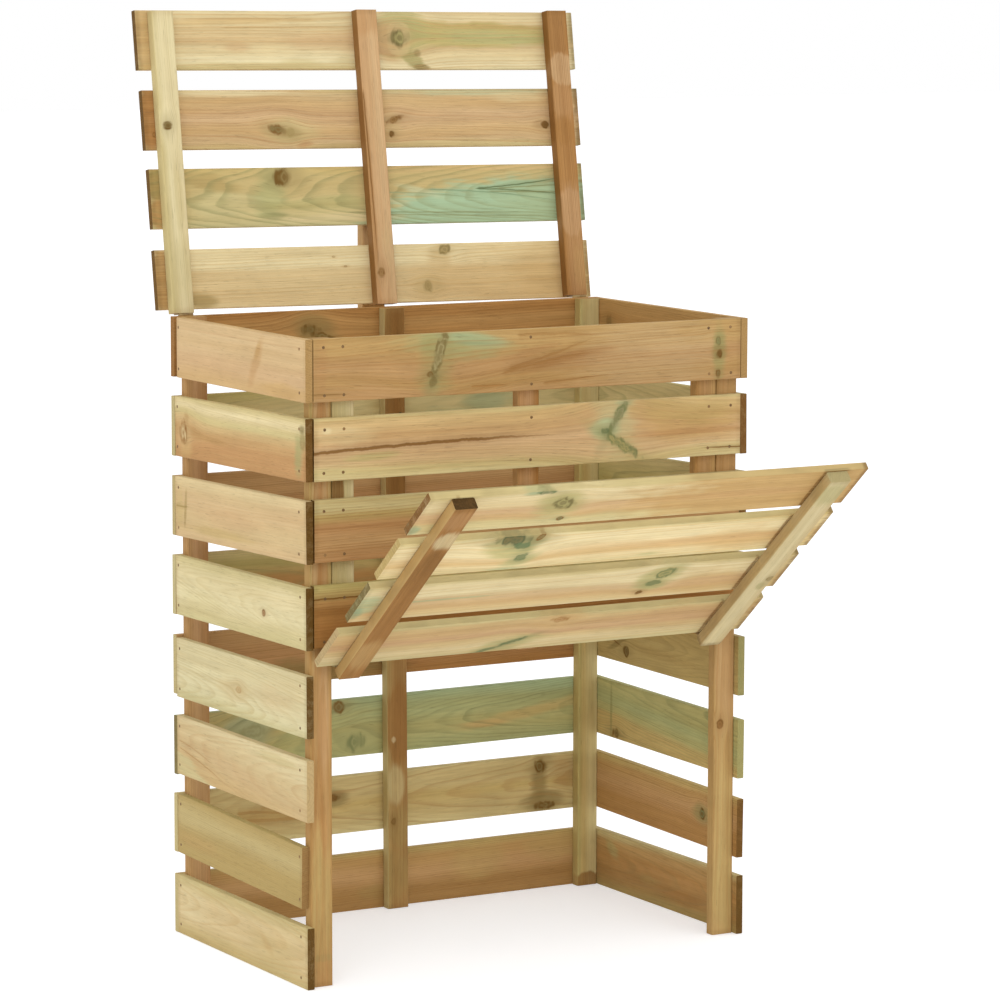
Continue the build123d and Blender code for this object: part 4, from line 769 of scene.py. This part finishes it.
        grain=(4.6, 0, -56, 0.0, 0.075), line="umber/tan", lines=0.5, wave=1.6, streak=0.30, mottle=0.22, gain=1.08,
        stains=[(286, -32, 40, 11, "moss/umber", 0.75, 0, 0.5), (281, 0, 15, 44, "moss/umber", 0.75, 0, 0.6), (-108, 12, 26, 12, "walnut/moss", 0.65, 0, 0.5),
                (330, 10, 26, 34, "tan/umber", 0.4, 0, 0.6)],
        knots=[(282, 29, 10, 10, "moss/walnut", "bark", 0.92, 0.8, 30, 0.6), (290, -38, 16, 6, "moss/walnut", "bark", 0.85, 0.7, 0, 0.6),
               (-111, 13, 8, 6, "walnut", "bark", 0.85, 0.7)],
        cracks=[(-292, 4, -170, -8, 3, 3.6, "umber/russet", 0.42), (-288, -10, -120, -24, 4, 4.0, "umber/russet", 0.42), (-250, 10, -110, -2, 0, 3.0, "umber/tan", 0.36)],
        ends=("olive/straw", "walnut"), edge=("olive/straw", 0.5)),
    "back_board_8": dict(
        bands=[(0.0, "tan/umber"), (0.3, "tan/umber"), (0.6, "tan/rose"), (0.85, "tan"), (1.0, "olive/tan")],
        grain=(3.2, -150, -45, 0.02, 0.0), line="umber", lines=0.38, streak=0.18, mottle=0.16, gain=1.05,
        stains=[(320, 24, 70, 24, "olive/tan", 0.5, 0, 0.6), (-40, -20, 30, 16, "umber/olive", 0.4, 0, 0.6), (160, 10, 60, 30, "tan/olive", 0.45, 0, 0.5),
                (40, -24, 20, 10, "umber/tan", 0.4, 0, 0.6)],
        ends=("olive/straw", "walnut"), edge=("olive/tan", 0.5)),
    # ---- right wall (inner faces are seen; low end is the front end) ------
    "right_board_1": dict(
        bands=[(0.0, "russet/tan"), (0.5, "tan/russet"), (1.0, "tan")],
        grain=(3.0, -150, 45, 0.02, 0.0), line="umber", lines=0.5, streak=0.3, gain=1.0,
        knots=[(178, 10, 8, 10, "walnut/moss", "walnut", 0.6, 0.7)],
        ends=("tan", "walnut"), edge=("honey", 0.4)),
    "right_board_2": dict(
        bands=[(0.0, "olive/ash"), (0.5, "olive/straw"), (1.0, "straw/olive")],
        grain=(3.6, 10, -52, 0.02, 0.06), line="moss", lines=0.5, wave=1.7, streak=0.26,
        ends=("umber/walnut", "walnut"), edge=("olive", 0.4)),
    "right_board_3": dict(
        bands=[(0.0, "olive/ash"), (0.5, "olive"), (1.0, "olive/straw")],
        grain=(3.6, 4, -52, 0.02, -0.06), line="moss", lines=0.5, wave=1.7, streak=0.26,
        ends=("walnut", "walnut"), edge=("olive", 0.4)),
    "right_board_4": dict(
        bands=[(0.0, "tan/honey"), (0.5, "tan"), (1.0, "honey/olive")],
        grain=(3.0, -150, 45, 0.02, 0.0), line="umber", lines=0.45, streak=0.28,
        ends=("walnut", "walnut"), edge=("olive", 0.4)),
    "right_board_5": dict(
        bands=[(0.0, "olive/honey"), (0.4, "olive/honey"), (0.7, "olive/tan"), (1.0, "olive/tan")],
        grain=(3.0, 6, -50, 0.02, 0.05), line="moss/walnut", lines=0.26, wave=2.0, streak=0.30, mottle=0.22, gain=0.97,
        stains=[(140, -18, 40, 5, "walnut/moss", 0.6, -18, 0.4)],
        knots=[(117.7, -26.4, 9, 8, "walnut/moss", "bark", 0.9, 0.9, 0, 0.6)],
        cracks=[(180, -6, 122, -24, 0, 1.6, "walnut", 0.8)],
        ends=("moss/olive", "walnut"), edge=("straw/olive", 0.5)),
    "right_board_6": dict(
        bands=[(0.0, "honey/olive"), (0.26, "honey/olive"), (0.40, "sage/olive"), (0.6, "sage"), (0.85, "sage/olive"), (1.0, "olive/sage")],
        grain=(3.2, 46, -54, 0.05, -0.025), line="moss/bottle", lines=0.50, wave=1.7, streak=0.32, slope=-0.06, wander=0.12, mottle=0.26, gain=1.10,
        # the contact mark is a painted shadow beside the back-right post
        stains=[(188, -24, 22, 18, "honey/olive", 0.8, 0, 0.4)], contact=[(165, 0, 4, 46, "moss", 0.6, 0.5)],
        knots=[(148, -38, 10, 8, "walnut/moss", "bark", 0.88, 0.9, 0, 0.6)],
        ends=("moss/olive", "walnut"), edge=("sage", 0.5)),
    "right_board_7": dict(
        bands=[(0.0, "tan/russet"), (0.3, "tan/russet"), (0.6, "tan/rose"), (0.85, "tan"), (1.0, "olive/honey")],
        grain=(3.0, 150, 45, 0.02, 0.0), line="umber", lines=0.45, streak=0.28, gain=1.04,
        stains=[(-122, 4, 30, 14, "moss/tan", 0.7, 0, 0.5)],
        knots=[(-122, 4, 9, 8, "moss/bottle", "bark", 0.9, 0.8, 0, 0.6)],
        ends=("walnut/bark", "walnut"), edge=("olive/honey", 0.6)),
    "right_board_8": dict(
        bands=[(0.0, "umber/olive"), (0.3, "umber/tan"), (0.6, "tan/russet"), (0.85, "tan"), (1.0, "olive/straw")],
        grain=(3.0, 0, -50, 0.02, 0.06), line="umber/moss", lines=0.32, streak=0.32, wave=2.0, mottle=0.26, gain=0.98,
        stains=[(160, 22, 22, 12, "sage/olive", 0.55, 30, 0.5), (40, -10, 40, 10, "umber/olive", 0.45, 0, 0.6), (-60, -20, 60, 14, "umber/russet", 0.4, 0, 0.6)],
        ends=("bark", "walnut"), edge=("olive/straw", 0.6)),
    # ---- posts and battens ------------------------------------------------
    "post_front_left": dict(
        bands=[(0.0, "tan/olive"), (0.25, "blush/tan"), (0.5, "rose/russet"), (0.72, "blush/tan"), (1.0, "tan/olive")],
        grain=(3.0, 2, 24, 0.0, 0.012), line="russet", lines=0.65, wave=1.4, streak=0.36, gain=0.94,
        stains=[(-260, 0, 330, 60, "tan/russet", 0.75, 0, 0.3), (-380, 0, 90, 24, "tan/olive", 0.6), (-80, 4, 90, 10, "rose/blush", 0.5), (-300, -6, 60, 8, "honey/olive", 0.5), (-455, 0, 6, 30, "moss/tan", 0.5, 0, 0.5)],
        ends=("walnut", "tan"), edge=("tan/russet", 0.5)),
    "post_front_right": dict(
        bands=[(0.0, "honey/tan"), (0.5, "tan/honey"), (1.0, "tan")],
        grain=(3.0, 4, 26, 0.0, 0.010), line="russet", lines=0.5, wave=1.4, streak=0.34, gain=0.91,
        stains=[(-430, 0, 80, 24, "tan/olive", 0.6), (-300, 0, 90, 24, "olive/honey", 0.4), (250, 0, 200, 24, "rose/russet", 0.6), (-70, 2, 90, 22, "rose", 0.5)],
        knots=[(-154, -7.5, 7, 5.5, "russet/walnut", "walnut", 0.85, 0.8, 0, 0.5)],
        ends=("walnut", "tan"), edge=("tan", 0.4)),
    "post_back_left": dict(
        bands=[(0.0, "tan/rose"), (0.5, "rose"), (1.0, "russet/rose")],
        grain=(2.4, 70, 30, 0.0, 0.0), line="umber", lines=0.5, streak=0.34,
        stains=[(-250, 0, 200, 24, "honey/rose", 0.5)],
        ends=("walnut", "tan"), edge=("tan/russet", 0.4)),
    "post_back_right": dict(
        bands=[(0.0, "olive"), (0.3, "olive/honey"), (0.7, "straw/olive"), (1.0, "straw/olive")],
        grain=(2.4, 70, 30, 0.0, 0.0), line="olive/tan", lines=0.42, streak=0.30, mottle=0.22,
        stains=[(-492, 0, 16, 24, "umber", 0.85, 0, 0.2), (380, 0, 140, 24, "cream/olive", 0.5), (-200, 6, 80, 8, "tan/olive", 0.45, 0, 0.6)],
        ends=("walnut", "tan"), edge=("olive/tan", 0.6)),
    "batten_front_left": dict(
        bands=[(0.0, "straw/olive"), (0.5, "cream/olive"), (1.0, "cream/straw")],
        grain=(2.4, 70, 30, 0.0, 0.0), line="olive/tan", lines=0.45, streak=0.3, gain=0.90,
        stains=[(20, -10, 36, 12, "umber/walnut", 0.92, 0, 0.22)],
        ends=("walnut", "tan"), edge=("olive/tan", 0.4)),
    "batten_front_middle": dict(
        bands=[(0.0, "russet/rose"), (0.5, "rose"), (1.0, "russet")],
        grain=(2.4, 70, 30, 0.0, 0.0), line="umber", lines=0.5, streak=0.32,
        ends=("walnut", "tan"), edge=("tan", 0.4)),
    "batten_front_right": dict(
        bands=[(0.0, "russet/tan"), (0.5, "rose/tan"), (1.0, "tan")],
        grain=(2.4, 70, 30, 0.0, 0.0), line="umber", lines=0.5, streak=0.32,
        ends=("walnut", "tan"), edge=("tan", 0.4)),
    "batten_back_middle": dict(
        bands=[(0.0, "tan/olive"), (0.5, "tan/umber"), (1.0, "umber/tan")],
        grain=(2.6, 70, -30, 0.0, 0.0), line="umber", lines=0.55, streak=0.38, mottle=0.24, gain=0.98,
        # the first stain darkens the upper part: partly the batten's own tone, partly painted shade from the front
        # boards
        stains=[(330, 2, 300, 30, "umber/walnut", 0.85, 0, 0.2), (-190, 4, 70, 26, "russet/umber", 0.75, 0, 0.2), (-290, -3, 34, 18, "straw/olive", 0.65, 0, 0.3),
                (-360, 4, 40, 20, "umber/olive", 0.6), (-440, 0, 44, 26, "umber/olive", 0.5), (-215, -6, 5, 4, "straw", 0.7, 0, 0.5)],
        knots=[(-352, -6, 5, 4, "walnut", "bark", 0.5, 0.5)],
        # pale side faces: partly painted light on the lit side
        ends=("walnut", "tan"), edge=("straw/olive", 0.75)),
    "lid_stop_post": dict(
        bands=[(0.0, "blush/rose"), (0.5, "blush"), (1.0, "honey/rose")],
        grain=(2.4, 70, 30, 0.0, 0.0), line="russet", lines=0.45, streak=0.3,
        ends=("walnut", "tan"), edge=("tan", 0.4)),
    "lid_stop_blocks": dict(
        bands=[(0.0, "tan"), (0.5, "honey/tan"), (1.0, "tan/rose")],
        grain=(2.4, 70, 30, 0.0, 0.0), line="russet", lines=0.45, streak=0.3,
        ends=("walnut", "walnut"), edge=("tan", 0.4)),
}


# ---------------------------------------------------------------------------
# metal finishes
# ---------------------------------------------------------------------------
def metal_material(name, base, worn, rust, rust_amount, rough, scale, piece):
    mat = bpy.data.materials.new(name)
    mat.use_nodes = True
    t = Tree(mat.node_tree)
    t.tree.nodes.clear()
    tex = t.node("ShaderNodeTexCoord")
    p = tex.outputs["Object"]
    spangle = t.node("ShaderNodeTexVoronoi", feature="F1")
    t.put(spangle.inputs["Vector"], p)
    spangle.inputs["Scale"].default_value = scale
    cell = t.split(spangle.outputs["Color"])[0]
    cloud = t.noise(p, scale * 0.16, 4.0, 0.6)
    scuff = t.noise(t.vmath("MULTIPLY", p, (scale * 0.5, scale * 3.0, scale * 3.0)), 1.0, 3.0, 0.6)
    batch = t.node("ShaderNodeTexVoronoi", feature="F1")
    t.put(batch.inputs["Vector"], p)
    batch.inputs["Scale"].default_value = piece
    age = t.split(batch.outputs["Color"])[1]
    col = t.mix(t.math("MULTIPLY", cell, 0.4), linear(base), linear(worn))
    col = t.mix(t.smooth(age, 0.35, 0.95, 0.0, 0.85), col, linear(worn))
    col = t.mix(t.math("MULTIPLY", t.smooth(scuff, 0.52, 0.75), 0.5), col, linear(worn))
    spots = t.smooth(cloud, 0.62 - 0.22 * rust_amount, 0.80 - 0.22 * rust_amount)
    col = t.mix(t.math("MULTIPLY", spots, rust_amount), col, linear(rust))
    bsdf = t.node("ShaderNodeBsdfPrincipled")
    t.put(bsdf.inputs["Base Color"], col)
    t.put(bsdf.inputs["Metallic"], t.smooth(spots, 0.0, 1.0, 0.20, 0.02))
    t.put(bsdf.inputs["Roughness"], t.math("ADD", rough, t.math("MULTIPLY", t.math("SUBTRACT", cloud, 0.5), 0.35)))
    bump = t.node("ShaderNodeBump")
    bump.inputs["Strength"].default_value = 0.3
    bump.inputs["Distance"].default_value = 0.0002
    t.put(bump.inputs["Height"], t.math("ADD", scuff, t.math("MULTIPLY", cloud, 0.6)))
    t.put(bsdf.inputs["Normal"], bump.outputs[0])
    out = t.node("ShaderNodeOutputMaterial")
    t.put(out.inputs["Surface"], bsdf.outputs[0])
    return mat


zinc = metal_material("zinc_plated_steel", (140, 114, 68), (166, 140, 92), (96, 68, 38), 0.55, 0.48, 420.0, 60.0)
nail = metal_material("nail_steel", (114, 86, 50), (152, 116, 70), (84, 58, 32), 0.75, 0.7, 900.0, 27.0)
METAL = {"hinge_leaves_fixed": zinc, "hinge_leaves_lid": zinc, "hinge_leaves_hatch": zinc, "hinge_pins": zinc,
         "screws_fixed": zinc, "screws_lid_stop": zinc, "nails_walls": nail, "fixings_lid": nail, "fixings_hatch": nail}


def wear(obj, mat):
    if not obj.material_slots:
        obj.data.materials.append(mat)
    for s in obj.material_slots:
        s.material = mat


for n, name in enumerate(sorted(nodes)):
    if name in METAL:
        wear(nodes[name], METAL[name])
    else:
        spec = dict(BOARDS[name])
        spec.setdefault("seed", 1.0 + 2.37 * n)
        wear(nodes[name], pine_material(name, nodes[name], spec))

# ---------------------------------------------------------------------------
# pale floor and soft studio light
# ---------------------------------------------------------------------------
floor_mesh = bpy.data.meshes.new("floor")
S = 30.0
floor_mesh.from_pydata([(-S, -S, -0.0006), (S, -S, -0.0006), (S, S, -0.0006), (-S, S, -0.0006)], [], [(0, 1, 2, 3)])
floor = bpy.data.objects.new("floor", floor_mesh)
bpy.context.scene.collection.objects.link(floor)
fm = bpy.data.materials.new("pale_floor")
fm.use_nodes = True
fb = fm.node_tree.nodes["Principled BSDF"]
fb.inputs["Base Color"].default_value = (0.72, 0.72, 0.725, 1.0)
fb.inputs["Roughness"].default_value = 0.9
fb.inputs["Specular IOR Level"].default_value = 0.1
fb.inputs["Emission Color"].default_value = (0.98, 1.0, 1.05, 1.0)
fb.inputs["Emission Strength"].default_value = 0.455
floor_mesh.materials.append(fm)

world = bpy.data.worlds.new("studio")
bpy.context.scene.world = world
world.use_nodes = True
bg = world.node_tree.nodes["Background"]
bg.inputs["Color"].default_value = (1.0, 1.0, 1.0, 1.0)
bg.inputs["Strength"].default_value = 1.0


def area(name, place, aim, size, watts, colour):
    data = bpy.data.lights.new(name, "AREA")
    data.shape = "SQUARE"
    data.size = size
    data.energy = watts
    data.color = colour
    ob = bpy.data.objects.new(name, data)
    bpy.context.scene.collection.objects.link(ob)
    ob.location = place
    ob.rotation_euler = (Vector(aim) - Vector(place)).to_track_quat("-Z", "Y").to_euler()
    return ob


area("key_soft", (-2.8, -3.6, 4.8), (0.0, 0.0, 0.6), 3.2, 70.0, (1.0, 1.0, 1.0))
area("fill_soft", (2.6, -5.2, 2.2), (0.0, 0.0, 0.6), 3.0, 10.0, (1.0, 1.0, 1.0))

view = bpy.context.scene.view_settings
view.view_transform = "Standard"
view.look = "None"
view.exposure = 0.0
view.gamma = 1.0
